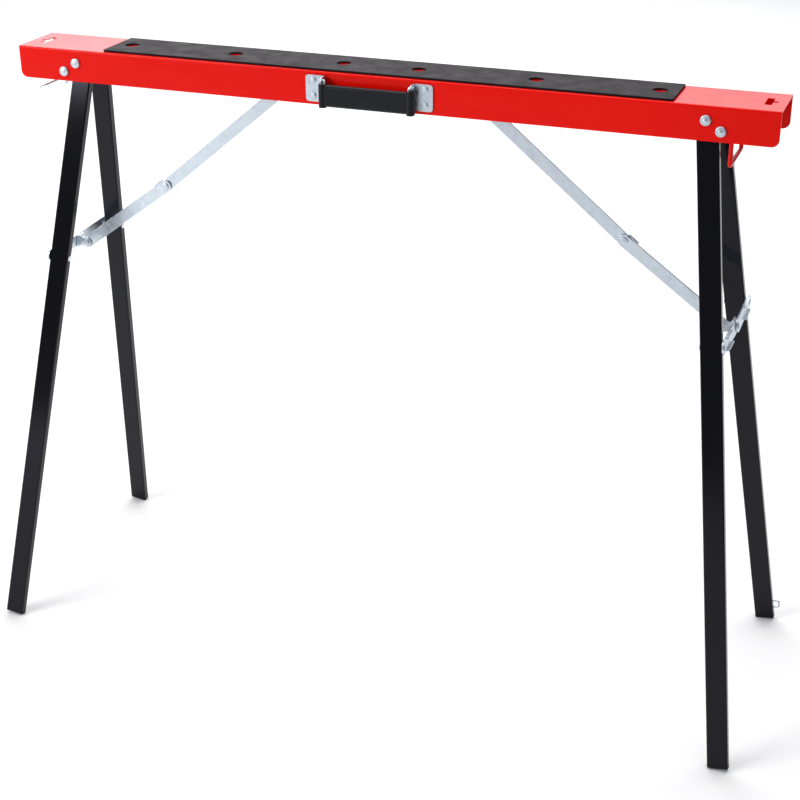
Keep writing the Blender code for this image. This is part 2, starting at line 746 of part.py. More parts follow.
# ---- parts of one end ----
def build_carrier(end):
    inner = -LEG_FACE - GAP
    outer = inner - CARRIER_PLATE
    half = end.nest + CARRIER_MARGIN
    outline = rounded(-half, -CARRIER_TOP, half, CARRIER_BOTTOM, CARRIER_CORNER)
    plate = prism(outline, lambda a, b, depth: end.point(depth, a, b), outer, inner)
    holes = []
    for side in (-1, 1):
        holes.append(prism(circle(side * end.nest, SPLAY_DROP, SPLAY_RIVET_RADIUS + GAP, SMALL_SEGMENTS),
                           lambda a, b, depth: end.point(depth, a, b), outer - OVERCUT, inner + OVERCUT))
    plate = cut(plate, holes)
    ears = []
    reach = EAR_OUTER + OVERCUT
    for side in (-1, 1):
        shape = arc(0, 0, EAR_RADIUS, -90, 90, 10)
        shape += [(inner - EAR_BITE, EAR_ROOT_DROP), (inner - EAR_BITE, -CARRIER_TOP + GAP)]
        low, high = sorted((side * (EAR_OUTER - CARRIER_PLATE), side * EAR_OUTER))
        ear = prism(shape, lambda a, b, depth: end.point(a, depth, b), low, high)
        bore = prism(circle(0, 0, TUBE_CLEAR), lambda a, b, depth: end.point(a, depth, b), -reach, reach)
        ears.append(cut(ear, [bore]))
    return fuse(plate, ears)


def build_splay_rivet(end, side):
    low = -LEG_FACE - GAP - CARRIER_PLATE
    high = LEG_FACE
    chamfer = 0.0003
    r = SPLAY_RIVET_RADIUS
    profile = [(0, low), (r - chamfer, low), (r, low + chamfer),
               (r, high - chamfer), (r - chamfer, high), (0, high)]
    return revolve(profile, lambda a, b, depth: end.point(depth, side * end.nest + a, SPLAY_DROP + b),
                   SMALL_SEGMENTS)


def build_leg(end, side):
    half_w = LEG_WIDTH / 2
    half_t = LEG_THICKNESS / 2
    wall = LEG_WALL
    inner = rounded(-half_w + wall, -half_t + wall, half_w - wall, half_t - wall, LEG_CORNER - wall)

    def place(a, b, depth):
        return end.leg_point(side, a, b, depth)

    leg = tube_prism(leg_section(), inner, place, -LEG_TOP_MARGIN, end.leg_length - CAP_HEIGHT - GAP)

    def across(a, b, depth):
        return end.leg_point(side, depth, a, b)

    reach = half_w + OVERCUT
    tools = [prism(circle(0, 0, SPLAY_RIVET_RADIUS + GAP), across, -reach, reach),
             prism(circle(0, end.rivet_down, LINK_RIVET_RADIUS + GAP), across, -reach, reach)]
    return cut(leg, tools)


def build_cap(end, side):
    half_w = LEG_WIDTH / 2
    half_t = LEG_THICKNESS / 2
    inset = LEG_WALL + GAP
    outer = leg_section()
    plug = rounded(-half_w + inset, -half_t + inset, half_w - inset, half_t - inset, CAP_PLUG_CORNER)
    foot = end.leg_length
    base = foot - CAP_HEIGHT

    def ring(points, depth, shrink=1.0):
        return [end.leg_point(side, a * shrink, b * shrink, depth) for a, b in points]

    rings = [ring(plug, base - CAP_PLUG), ring(plug, base), ring(outer, base),
             ring(outer, foot - CAP_CHAMFER), ring(outer, foot, CAP_TAPER)]
    return loft("cap", rings)


def build_link(end, side, low):
    """Spreader link with a round end at each rivet and a rim along both edges."""
    length = end.link_length
    high = low + LINK_THICKNESS
    half = LINK_WIDTH / 2

    def place(a, b, depth):
        return end.link_point(side, depth, a, b)

    body = prism(strap_outline(length, LINK_WIDTH), place, low, high)
    rims = []
    for edge in (-1, 1):
        rows = sorted((edge * (half - INSET), edge * (half - LINK_RIM_THICKNESS)))
        outline = [(LINK_RIM_END, rows[0]), (length - LINK_RIM_START, rows[0]),
                   (length - LINK_RIM_START, rows[1]), (LINK_RIM_END, rows[1])]
        rims.append(prism(outline, place, low + LINK_THICKNESS / 2, high + LINK_RIM_HEIGHT))
    body = fuse(body, rims)
    holes_at = (0, length) if side > 0 else (0,)
    tools = [prism(circle(a, 0, LINK_RIVET_RADIUS + GAP, SMALL_SEGMENTS),
                   place, low - OVERCUT, high + OVERCUT)
             for a in holes_at]
    return cut(body, tools)


def build_link_rivet(end, side, link_low):
    """Leg rivet: a head inside the leg, a shoulder under the outer link and a head outside."""
    r = LINK_RIVET_RADIUS
    head = RIVET_HEAD_RADIUS
    inner = -LEG_FACE - GAP
    outer = link_low + LINK_THICKNESS + GAP
    tail = dome_rings(RIVET_TAIL_RADIUS, inner, -RIVET_TAIL_HEIGHT)[::-1]
    profile = tail + [(r, inner)]
    if link_low > FRONT_LINK_X + GAP:
        profile += [(r, FRONT_LINK_X), (head, FRONT_LINK_X), (head, link_low - GAP), (r, link_low - GAP)]
    profile += [(r, outer)] + dome_rings(head, outer, RIVET_HEAD_HEIGHT)
    return revolve(profile, lambda a, b, depth: end.link_point(side, depth, a, b), SMALL_SEGMENTS)


def build_centre_rivet(end):
    """Head and shank of the spreader's centre rivet, carried by the outer link."""
    low = BACK_LINK_X
    head = BACK_LINK_X + LINK_THICKNESS + GAP
    profile = dome_profile(LINK_RIVET_RADIUS, low, head, RIVET_HEAD_RADIUS, RIVET_HEAD_HEIGHT, PIN_CHAMFER)
    return revolve(profile, lambda a, b, depth: end.point(depth, a, CENTRE_DROP + b), SMALL_SEGMENTS)


def build_clevis(end):
    """Angle bracket from the spreader's centre in to the brace pin."""
    high = FRONT_LINK_X - GAP
    low = high - CHEEK_THICKNESS
    base = prism(rounded(-CLEVIS_HALF, CENTRE_DROP - CLEVIS_HALF,
                         CLEVIS_HALF, CENTRE_DROP + CLEVIS_HALF, CLEVIS_CORNER),
                 lambda a, b, depth: end.point(depth, a, b), low, high)
    root = low + CHEEK_THICKNESS / 2
    shape = arc(BRACE_PIN_OUT, CENTRE_DROP, CLEVIS_CHEEK_RADIUS, 90, 270, 8)
    shape += [(root, CENTRE_DROP - CLEVIS_CHEEK_ROOT), (root, CENTRE_DROP + CLEVIS_CHEEK_ROOT)]
    outer = CHEEK_INNER + CHEEK_THICKNESS
    cheek = prism(shape, lambda a, b, depth: end.point(a, depth, b), -outer, -CHEEK_INNER)
    body = fuse(base, [cheek])
    hole = prism(circle(BRACE_PIN_OUT, CENTRE_DROP, PIN_CLEAR),
                 lambda a, b, depth: end.point(a, depth, b), -outer - OVERCUT, 0.0)
    return cut(body, [hole])


def build_brace_pin(end):
    """Brace rivet: headed outside the cheek, flush inside so the upper strap can pass."""
    head = -CHEEK_INNER - CHEEK_THICKNESS - GAP
    profile = dome_profile(PIN_RADIUS, -STRAP_HALF_GAP, head,
                           BRACE_HEAD_RADIUS, BRACE_HEAD_HEIGHT, PIN_CHAMFER)
    return revolve(profile, lambda a, b, depth: end.point(BRACE_PIN_OUT + a, depth, CENTRE_DROP + b),
                   SMALL_SEGMENTS)


def strap_place(start, finish_point):
    """Placing function for a strap between two points of the middle plane."""
    dx = finish_point[0] - start[0]
    dz = finish_point[1] - start[1]
    length = math.hypot(dx, dz)
    ux = dx / length
    uz = dz / length

    def place(a, b, depth):
        return (start[0] + a * ux - b * uz, depth, start[1] + a * uz + b * ux)

    return place, length


def build_upper_strap(end):
    start = (end.sign * ANCHOR_X, ANCHOR_Z)
    place, length = strap_place(start, end.elbow)
    up = end.sign
    low = STRAP_HALF_GAP
    high = low + STRAP_THICKNESS
    body = prism(strap_outline(length, STRAP_WIDTH), place, low, high)
    tab_low = length + TAB_START
    tab_high = length + TAB_END
    half = STRAP_WIDTH / 2
    crest = half + TAB_PROUD
    shelf = crest - TAB_THICKNESS
    ear_outline = [(length - TAB_START, half - 2 * OVERCUT), (length, crest), (tab_high, crest),
                   (tab_high, shelf), (tab_low, half - OVERCUT), (tab_low - OVERCUT, 0.0)]
    ear = prism([(a, up * b) for a, b in ear_outline], place, low + INSET, high - INSET)
    tab_outline = [(tab_low, shelf + INSET), (tab_high - INSET, shelf + INSET),
                   (tab_high - INSET, crest - INSET),
                   (tab_low, crest - INSET)]
    tab = prism([(a, up * b) for a, b in tab_outline], place,
                -STRAP_HALF_GAP - STRAP_THICKNESS, high - 2 * INSET)
    body = fuse(body, [ear, tab])
    tools = [prism(circle(a, 0, PIN_CLEAR, SMALL_SEGMENTS), place, low - OVERCUT, high + OVERCUT)
             for a in (0, length)]
    return cut(body, tools)


def build_lower_strap(end):
    pin = end.point(BRACE_PIN_OUT, 0, CENTRE_DROP)
    place, length = strap_place((pin[0], pin[2]), end.elbow)
    high = -STRAP_HALF_GAP
    low = high - STRAP_THICKNESS
    body = prism(strap_outline(length, STRAP_WIDTH), place, low, high)
    tools = [prism(circle(a, 0, PIN_CLEAR, SMALL_SEGMENTS), place, low - OVERCUT, high + OVERCUT)
             for a in (0, length)]
    return cut(body, tools)


def build_elbow_rivet(end, side):
    """Half of the elbow rivet, carried by the strap on that side."""
    start = side * STRAP_HALF_GAP
    head = side * (STRAP_HALF_GAP + STRAP_THICKNESS + GAP)
    profile = dome_profile(PIN_RADIUS, start, head, ELBOW_HEAD_RADIUS, BRACE_HEAD_HEIGHT, PIN_CHAMFER)
    x, z = end.elbow
    return revolve(profile, lambda a, b, depth: (x + a, depth, z + b), SMALL_SEGMENTS)


def build_clip(end):
    """Wire staple near the foot, which the bail hooks when the legs are folded."""
    low = end.leg_length - CLIP_UP - CLIP_HALF
    high = low + 2 * CLIP_HALF
    root = LEG_FACE + GAP
    tip = root + CLIP_OUT
    corners = [end.leg_point(1, root, 0, low), end.leg_point(1, tip, 0, low),
               end.leg_point(1, tip, 0, high), end.leg_point(1, root, 0, high)]
    return sweep(fillet_path(corners, CLIP_BEND), CLIP_WIRE)


def make_end(end):
    front, back = -1, 1
    splay = {side: end.splay_origin(side) for side in (front, back)}
    label = {front: "front_" + end.name, back: "back_" + end.name}
    finish(build_carrier(end), "carrier_" + end.name, "red", end.origin)
    for side, low in ((front, FRONT_LINK_X), (back, BACK_LINK_X)):
        finish(build_splay_rivet(end, side), "splay_rivet_" + label[side], "zinc", end.origin)
        finish(build_leg(end, side), "leg_" + label[side], "black", splay[side])
        finish(build_cap(end, side), "foot_cap_" + label[side], "plastic", splay[side])
        finish(build_link(end, side, low), "link_" + label[side], "zinc", end.link_origin(side))
        finish(build_link_rivet(end, side, low), "link_rivet_" + label[side], "zinc", splay[side])
    finish(build_centre_rivet(end), "centre_rivet_" + end.name, "zinc", end.link_origin(back))
    centre = end.point(BRACE_PIN_OUT, 0, CENTRE_DROP)
    finish(build_clevis(end), "clevis_" + end.name, "zinc", centre)
    finish(build_brace_pin(end), "brace_pin_" + end.name, "zinc", centre)
    finish(build_lower_strap(end), "lower_strap_" + end.name, "zinc", centre)
    finish(build_elbow_rivet(end, -1), "elbow_rivet_lower_" + end.name, "zinc", centre)
    anchor = (end.sign * ANCHOR_X, 0, ANCHOR_Z)
    finish(build_upper_strap(end), "upper_strap_" + end.name, "zinc", anchor)
    finish(build_elbow_rivet(end, 1), "elbow_rivet_upper_" + end.name, "zinc", anchor)
    finish(build_anchor(end), "anchor_" + end.name, "zinc", anchor)
    finish(build_anchor_pin(end), "anchor_pin_" + end.name, "zinc", anchor)


def make_bolts(ends):
    base = (0, 0, BEAM_TOP)
    for end in ends:
        finish(build_bolt(end.origin[0], FOLD_Z), "fold_pin_" + end.name, "zinc", base)
        finish(build_fold_tube(end), "fold_tube_" + end.name, "zinc", base)
        x, z = stop_place(end)
        finish(build_bolt(x, z), "stop_pin_" + end.name, "zinc", base)


def make_handle():
    base = (0, 0, BEAM_TOP)
    pivot = (0, HANDLE_Y, HANDLE_Z)
    for sign, name in ((-1, "left"), (1, "right")):
        finish(build_handle_plate(sign), "handle_plate_" + name, "zinc", base)
        for level, drop_ in zip(("upper", "lower"), PLATE_RIVET_DROPS):
            finish(build_plate_rivet(sign, drop_), "handle_rivet_" + level + "_" + name, "zinc", base)
        finish(build_handle_pin(sign), "handle_pin_" + name, "zinc", pivot)
    finish(build_grip(), "handle_grip", "plastic", pivot)


def main():
    clear_scene()
    left = End("left", -1, NEST_LEFT, TILT_LEFT, SPLAY_LEFT)
    right = End("right", 1, NEST_RIGHT, TILT_RIGHT, SPLAY_RIGHT)
    ends = (left, right)
    base = (0, 0, BEAM_TOP)
    finish(build_beam(ends), "beam", "red", base)
    finish(build_pad(), "rubber_pad", "rubber", base)
    make_bolts(ends)
    make_handle()
    finish(build_keeper(), "keeper_loop", "red", base)
    bail_x, bail_z = stop_place(left)
    finish(build_bail(left), "wire_bail", "zinc", (bail_x, 0, bail_z))
    for end in ends:
        make_end(end)
    finish(build_clip(right), "foot_clip", "zinc", right.splay_origin(1))


main()
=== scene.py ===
import json
import math

import bmesh
import bpy
from mathutils import Matrix, Vector


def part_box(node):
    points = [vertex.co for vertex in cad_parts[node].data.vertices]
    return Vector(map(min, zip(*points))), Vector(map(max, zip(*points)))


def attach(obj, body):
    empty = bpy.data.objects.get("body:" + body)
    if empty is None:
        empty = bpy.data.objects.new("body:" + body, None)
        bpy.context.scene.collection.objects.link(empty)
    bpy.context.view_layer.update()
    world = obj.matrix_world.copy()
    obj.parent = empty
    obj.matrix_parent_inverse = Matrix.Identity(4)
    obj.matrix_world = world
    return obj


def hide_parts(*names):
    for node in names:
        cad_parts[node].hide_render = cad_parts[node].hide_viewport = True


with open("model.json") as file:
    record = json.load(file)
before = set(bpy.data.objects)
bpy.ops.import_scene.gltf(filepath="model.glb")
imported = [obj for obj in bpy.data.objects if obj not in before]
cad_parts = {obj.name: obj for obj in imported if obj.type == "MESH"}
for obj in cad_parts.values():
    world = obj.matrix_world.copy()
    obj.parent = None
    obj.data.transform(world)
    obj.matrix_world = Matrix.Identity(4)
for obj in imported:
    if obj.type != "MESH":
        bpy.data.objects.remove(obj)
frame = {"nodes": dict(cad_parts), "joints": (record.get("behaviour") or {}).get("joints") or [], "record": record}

NODES = frame["nodes"]
JOINTS = {joint["name"]: joint for joint in frame["joints"]}
BODY_OF = {node: body for body, nodes in frame["record"]["behaviour"]["bodies"].items() for node in nodes}
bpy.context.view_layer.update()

# ---- camera ----
CAMERA_PLACE = (0.7141, -1.8176, 1.2808)
CAMERA_TURN = (64.4856, 0.3746, 20.8143)
LENS = 71.06

# ---- sheet sizes, metres ----
GAP = 0.0003
BEAM_WALL = 0.00125
BEAM_BEND = 0.0023
BEAM_CORNER = 0.009
BOLT_CLEAR = 0.0033
LEG_WALL = 0.0013
LEG_CORNER = 0.0020
SLOT_IN = 0.0204
SLOT_HALF = (0.0042, 0.0150)
SLOT_ARM = (0.0097, 0.0030)
PAD_CORNER = 0.002
WEB_HOLE_RADIUS = 0.0085
PAD_HOLE_RADIUS = 0.009
PAD_HOLES_X = (0.352, 0.201, 0.050)
STRAP_WIDTH = 0.0160
STRAP_THICKNESS = 0.0025
STRAP_HALF_GAP = 0.00015
LINK_WIDTH = 0.017
LINK_THICKNESS = 0.002
LINK_RIM_THICKNESS = 0.0015
LINK_RIM_START = 0.0325
LINK_RIM_END = 0.011
CAP_CHAMFER = 0.0008
CAP_TAPER = 0.95
CARRIER_PLATE = 0.0012
CARRIER_TOP = 0.003
CHEEK_INNER = 0.00295
CHEEK_THICKNESS = 0.002
PIN_CLEAR = 0.0028
PLATE_THICKNESS = 0.0015
PLATE_CORNER = 0.004
PLATE_RIVET_HOLE = 0.0021
PLATE_RIVET_SHANK = 0.0018
PLATE_RIVET_HEIGHT = 0.0014
DIMPLE_RADII = (0.0056, 0.0050, 0.0044)
DIMPLE_DEPTH = 0.00035
WIRE = 0.0016
WIRE_BEND = 0.0023
EAR_RADIUS = 0.0036
EAR_INSET = 0.0002
SLAB_INSET = 0.001
SLAB_CORNER = 0.004
POST_CORNER = 0.0048
POST_LENGTH = 0.010
ROD_BEND = 0.004
CLIP_WIRE = 0.0013
BAIL_ELBOW = (0.001, 0.017)
BAIL_REACH = 0.046
BAIL_DROP = 0.0275
BAIL_BEND = 0.005
CARRIER_CORNER = 0.003
EAR_OUTER = 0.0095
EAR_TIP_RADIUS = 0.007
EAR_BITE = 0.0006
EAR_ROOT_DROP = 0.0082
EAR_ROOT_RISE = 0.0027
TUBE_HOLE = 0.0048
TUBE_CUT = 0.015
SPLAY_HOLE = 0.0029
LINK_HOLE = 0.0031
LINK_RIM_SHORT = 0.004
PLUG_CORNER = 0.0006
GROOVE_PITCH = 0.0013
RIVET_HEAD = 0.0044
RIVET_HEIGHT = 0.0013
RIVET_SHANK = 0.0028
RIVET_TAIL = 0.0038
RIVET_TAIL_HEIGHT = 0.0010
CLEVIS_HALF = 0.009
CLEVIS_CORNER = 0.003
CLEVIS_CHEEK_RADIUS = 0.0068
CLEVIS_CHEEK_STEP = 0.0032
CHEEK_CUT = 0.010
ELBOW_HEAD = (0.0048, 0.0016)
BRACE_HEAD = (0.0045, 0.0016)
ANCHOR_HEAD = (0.0042, 0.0015)
ANCHOR_CORNER = 0.002
ANCHOR_BASE = 0.0015
ANCHOR_CHEEK = 0.0065
ANCHOR_CUT = 0.012
TAB_START = 0.005
TAB_END = 0.015
TAB_PROUD = 0.0024
TAB_THICKNESS = 0.0012
TAB_ROOTS = (0.002, 0.001)
INSET = 0.00015
SEAM = 0.0003
SEAM_FLOOR = 0.0002
OVERCUT = 0.001
WEB_OVERCUT = 0.004
HOLE_STEPS = 48
ROUND = 40
FINE = 28


# ---- mesh helpers ----
def mesh_object(name, verts, faces):
    mesh = bpy.data.meshes.new(name)
    mesh.from_pydata([tuple(v) for v in verts], [], faces)
    work = bmesh.new()
    work.from_mesh(mesh)
    bmesh.ops.recalc_face_normals(work, faces=work.faces)
    work.to_mesh(mesh)
    work.free()
    item = bpy.data.objects.new(name, mesh)
    bpy.context.collection.objects.link(item)
    return item


def combine(target, tools, operation):
    for tool in tools:
        step = target.modifiers.new("step", "BOOLEAN")
        step.operation = operation
        step.solver = "EXACT"
        step.object = tool
        bpy.context.view_layer.update()
        graph = bpy.context.evaluated_depsgraph_get()
        result = bpy.data.meshes.new_from_object(target.evaluated_get(graph))
        target.modifiers.clear()
        old = target.data
        target.data = result
        bpy.data.meshes.remove(old)
        spare = tool.data
        bpy.data.objects.remove(tool, do_unlink=True)
        bpy.data.meshes.remove(spare)
    return target


def cut(target, tools):
    return combine(target, tools, "DIFFERENCE")


def fuse(target, tools):
    return combine(target, tools, "UNION")


def loft(rings):
    count = len(rings[0])
    verts = [v for ring in rings for v in ring]
    faces = [list(range(count))]
    for r in range(len(rings) - 1):
        for i in range(count):
            j = (i + 1) % count
            faces.append([r * count + i, r * count + j, (r + 1) * count + j, (r + 1) * count + i])
    faces.append([(len(rings) - 1) * count + i for i in range(count)])
    return mesh_object("loft", verts, faces)


def prism(outline, place, low, high):
    return loft([[place(a, b, depth) for a, b in outline] for depth in (low, high)])


def tube_prism(outer, inner, place, low, high):
    count = len(outer)
    verts = []
    for depth in (low, high):
        verts.extend(place(a, b, depth) for a, b in outer)
        verts.extend(place(a, b, depth) for a, b in inner)
    faces = []
    top = 2 * count
    for i in range(count):
        j = (i + 1) % count
        faces.append([i, j, top + j, top + i])
        faces.append([count + j, count + i, top + count + i, top + count + j])
        faces.append([i, j, count + j, count + i])
        faces.append([top + j, top + i, top + count + i, top + count + j])
    return mesh_object("tube", verts, faces)


def arc(centre_a, centre_b, radius, start, end, steps):
    points = []
    for k in range(steps + 1):
        angle = math.radians(start + (end - start) * k / steps)
        points.append((centre_a + radius * math.cos(angle), centre_b + radius * math.sin(angle)))
    return points


def circle(centre_a, centre_b, radius, steps=ROUND):
    step = 360 / steps
    return arc(centre_a, centre_b, radius, step / 2, 360 - step / 2, steps - 1)


def rounded(low_a, low_b, high_a, high_b, radius, steps=6):
    points = arc(high_a - radius, high_b - radius, radius, 0, 90, steps)
    points += arc(low_a + radius, high_b - radius, radius, 90, 180, steps)
    points += arc(low_a + radius, low_b + radius, radius, 180, 270, steps)
    points += arc(high_a - radius, low_b + radius, radius, 270, 360, steps)
    return points


def strap_outline(length, width, steps=18):
    half = width / 2
    return arc(0, 0, half, 90, 270, steps) + arc(length, 0, half, -90, 90, steps)


def revolve(profile, place, steps=ROUND):
    """Solid of revolution; profile is (radius, depth) pairs, the first and last on the axis."""
    rings = []
    for radius, depth in profile[1:-1]:
        rings.append([place(radius * math.cos(2 * math.pi * k / steps),
                            radius * math.sin(2 * math.pi * k / steps), depth) for k in range(steps)])
    verts = [v for ring in rings for v in ring]
    faces = []
    for r in range(len(rings) - 1):
        for i in range(steps):
            j = (i + 1) % steps
            faces.append([r * steps + i, r * steps + j, (r + 1) * steps + j, (r + 1) * steps + i])
    first = len(verts)
    verts.append(place(0, 0, profile[0][1]))
    verts.append(place(0, 0, profile[-1][1]))
    last_ring = (len(rings) - 1) * steps
    for i in range(steps):
        j = (i + 1) % steps
        faces.append([first, j, i])
        faces.append([first + 1, last_ring + i, last_ring + j])
    return mesh_object("round", verts, faces)


def sweep(points, radius, steps=16):
    points = [Vector(p) for p in points]
    rings = []
    normal = None
    for i, point in enumerate(points):
        before = points[max(i - 1, 0)]
        after = points[min(i + 1, len(points) - 1)]
        direction = (after - before).normalized()
        seed = Vector((0.31, 0.87, 0.38)) if normal is None else normal
        normal = (seed - direction * seed.dot(direction)).normalized()
        side = direction.cross(normal)
        rings.append([point + normal * (radius * math.cos(2 * math.pi * k / steps))
                      + side * (radius * math.sin(2 * math.pi * k / steps)) for k in range(steps)])
    return loft(rings)


def fillet_path(corners, radius, steps=10):
    corners = [Vector(c) for c in corners]
    path = [corners[0]]
    for before, corner, after in zip(corners, corners[1:], corners[2:]):
        into = (corner - before).normalized()
        out = (after - corner).normalized()
        turn = into.angle(out)
        start = corner - into * (radius * math.tan(turn / 2))
        centre = start + (out - into * out.dot(into)).normalized() * radius
        arm = start - centre
        axis = into.cross(out).normalized()
        for k in range(steps + 1):
            angle = turn * k / steps
            path.append(centre + arm * math.cos(angle) + axis.cross(arm) * math.sin(angle))
    path.append(corners[-1])
    return path


def along_y(a, b, depth):
    return (a, depth, b)


def along_z(a, b, depth):
    return (a, b, depth)


def along_x(a, b, depth):
    return (depth, a, b)


def middle(node):
    low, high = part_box(node)
    return (low + high) / 2


def span(node, origin, axis):
    """Lowest and highest reach of a CAD node along an axis, from an origin."""
    reach = [(vert.co - origin).dot(axis) for vert in NODES[node].data.vertices]
    return min(reach), max(reach)


# ---- finishes ----
class Finish:
    """A procedural material whose layers are noises over the piece's own coordinates."""

    def __init__(self, name, metallic=0.0, specular=0.5, tint=(1.0, 1.0, 1.0)):
        self.material = bpy.data.materials.new(name)
        self.material.use_nodes = True
        self.tree = self.material.node_tree
        self.shader = self.tree.nodes["Principled BSDF"]
        self.shader.inputs["Metallic"].default_value = metallic
        self.shader.inputs["Specular IOR Level"].default_value = specular
        self.shader.inputs["Specular Tint"].default_value = (*tint, 1.0)
        self.coords = self.tree.nodes.new("ShaderNodeTexCoord").outputs["Object"]
        self.normal = None

    def link(self, source, target):
        self.tree.links.new(source, target)

    def noise(self, scale, stretch=(1, 1, 1), detail=3.0, rough=0.5, warp=0.0):
        spread = self.tree.nodes.new("ShaderNodeMapping")
        spread.inputs["Scale"].default_value = stretch
        self.link(self.coords, spread.inputs["Vector"])
        grain = self.tree.nodes.new("ShaderNodeTexNoise")
        grain.inputs["Scale"].default_value = scale
        grain.inputs["Detail"].default_value = detail
        grain.inputs["Roughness"].default_value = rough
        grain.inputs["Distortion"].default_value = warp
        self.link(spread.outputs["Vector"], grain.inputs["Vector"])
        return grain.outputs["Fac"]

    def cells(self, scale, stretch=(1, 1, 1)):
        spread = self.tree.nodes.new("ShaderNodeMapping")
        spread.inputs["Scale"].default_value = stretch
        self.link(self.coords, spread.inputs["Vector"])
        grain = self.tree.nodes.new("ShaderNodeTexVoronoi")
        grain.inputs["Scale"].default_value = scale
        self.link(spread.outputs["Vector"], grain.inputs["Vector"])
        return grain

    def ramp(self, source, *stops):
        """Colours or greys by level: each stop is (level, colour)."""
        ramp = self.tree.nodes.new("ShaderNodeValToRGB")
        elements = ramp.color_ramp.elements
        while len(elements) < len(stops):
            elements.new(0.5)
        for element, (level, colour) in zip(elements, stops):
            element.position = level
            element.color = (*colour, 1.0) if hasattr(colour, "__len__") else (colour, colour, colour, 1.0)
        self.link(source, ramp.inputs["Fac"])
        return ramp.outputs["Color"]

    def mix(self, first, second, share, blend="MIX"):
        blender = self.tree.nodes.new("ShaderNodeMix")
        blender.data_type = "RGBA"
        blender.blend_type = blend
        if hasattr(share, "links"):
            self.link(share, blender.inputs["Factor"])
        else:
            blender.inputs["Factor"].default_value = share
        for source, socket in ((first, 6), (second, 7)):
            if hasattr(source, "links"):
                self.link(source, blender.inputs[socket])
            else:
                blender.inputs[socket].default_value = (*source, 1.0)
        return blender.outputs[2]

    def level(self, source, low, high):
        """Map 0-1 to low-high."""
        span_node = self.tree.nodes.new("ShaderNodeMapRange")
        span_node.inputs["From Min"].default_value = 0.3
        span_node.inputs["From Max"].default_value = 0.7
        span_node.inputs["To Min"].default_value = low
        span_node.inputs["To Max"].default_value = high
        self.link(source, span_node.inputs["Value"])
        return span_node.outputs["Result"]

    def colour(self, source):
        self.link(source, self.shader.inputs["Base Color"])

    def roughness(self, source):
        self.link(source, self.shader.inputs["Roughness"])

    def bump(self, source, depth, strength=1.0):
        """Stack a relief of the given depth in metres."""
        relief = self.tree.nodes.new("ShaderNodeBump")
        relief.inputs["Distance"].default_value = depth
        relief.inputs["Strength"].default_value = strength
        self.link(source, relief.inputs["Height"])
        if self.normal is not None:
            self.link(self.normal, relief.inputs["Normal"])
        self.normal = relief.outputs["Normal"]
        self.link(self.normal, self.shader.inputs["Normal"])


def red_paint():
    """Gloss powder coat: fine orange peel, a slow drift of tone and a few dull specks."""
    f = Finish("red_powder_coat", specular=0.14)
    tone = f.ramp(f.noise(5, detail=2), (0.3, (0.74, 0.0036, 0.0006)), (0.7, (0.80, 0.0048, 0.0010)))
    specks = f.ramp(f.noise(900, detail=1), (0.70, 0.0), (0.78, 1.0))
    f.colour(f.mix(tone, (0.60, 0.012, 0.006), f.mix((0, 0, 0), specks, 0.25)))
    f.roughness(f.level(f.noise(40, detail=3), 0.17, 0.21))
    f.bump(f.noise(620, detail=2), 0.00002)
    return f.material


def black_paint():
    """Gloss black coat over drawn tube: orange peel, long faint draw lines and handling scuffs."""
    f = Finish("black_powder_coat", specular=0.24, tint=(0.84, 0.84, 1.0))
    tone = f.ramp(f.noise(9, (1, 1, 0.25), 3),
                  (0.3, (0.0020, 0.0020, 0.0034)), (0.75, (0.0034, 0.0034, 0.0052)))
    dust = f.ramp(f.noise(240, (1, 1, 0.35), 5, 0.7), (0.66, 0.0), (0.84, 1.0))
    f.colour(f.mix(tone, (0.016, 0.016, 0.018), dust))
    f.roughness(f.level(f.noise(34, (1, 1, 0.2), 5, 0.6), 0.08, 0.13))
    f.bump(f.noise(560, detail=2), 0.00002)
    f.bump(f.noise(420, (1, 1, 0.02), 2), 0.00002, 0.5)
    return f.material


def zinc(name, along=(1, 1, 1), light=1.0, patch=60):
    """Bright zinc plate with a bluish passivate: cloudy patches, fine spangle and rolling lines."""
    f = Finish(name, metallic=1.0)
    cool = tuple(light * c for c in (0.57, 0.63, 0.70))
    pale = tuple(light * c for c in (0.66, 0.72, 0.78))
    warm = tuple(light * c for c in (0.61, 0.68, 0.72))
    clouds = f.ramp(f.noise(patch, detail=5, rough=0.6, warp=0.6), (0.34, cool), (0.52, pale), (0.68, warm))
    spangle = f.ramp(f.cells(620).outputs["Color"], (0.0, (0.90, 0.92, 0.95)), (1.0, (1.0, 1.0, 1.0)))
    f.colour(f.mix(clouds, spangle, 0.6, "MULTIPLY"))
    f.roughness(f.level(f.noise(140, detail=4), 0.26, 0.46))
    f.bump(f.noise(900, along, 3), 0.00003)
    f.bump(f.noise(70, detail=3), 0.0001, 0.5)
    return f.material


def rubber():
    """Dense black rubber: fine moulded grain, pale bloom and rubbed patches."""
    f = Finish("black_rubber", specular=0.12, tint=(1.0, 0.90, 0.98))
    bloom = f.ramp(f.noise(16, (0.35, 1, 1), 6, 0.65),
                   (0.32, (0.0095, 0.0070, 0.0090)), (0.70, (0.0130, 0.0102, 0.0126)))
    flecks = f.ramp(f.noise(1500, detail=2), (0.62, 0.0), (0.74, 1.0))
    f.colour(f.mix(bloom, (0.045, 0.040, 0.046), f.mix((0, 0, 0), flecks, 0.45)))
    f.roughness(f.level(f.noise(45, detail=5), 0.50, 0.66))
    f.bump(f.noise(1300, detail=3), 0.00010)
    f.bump(f.cells(420).outputs["Distance"], 0.00008)
    return f.material


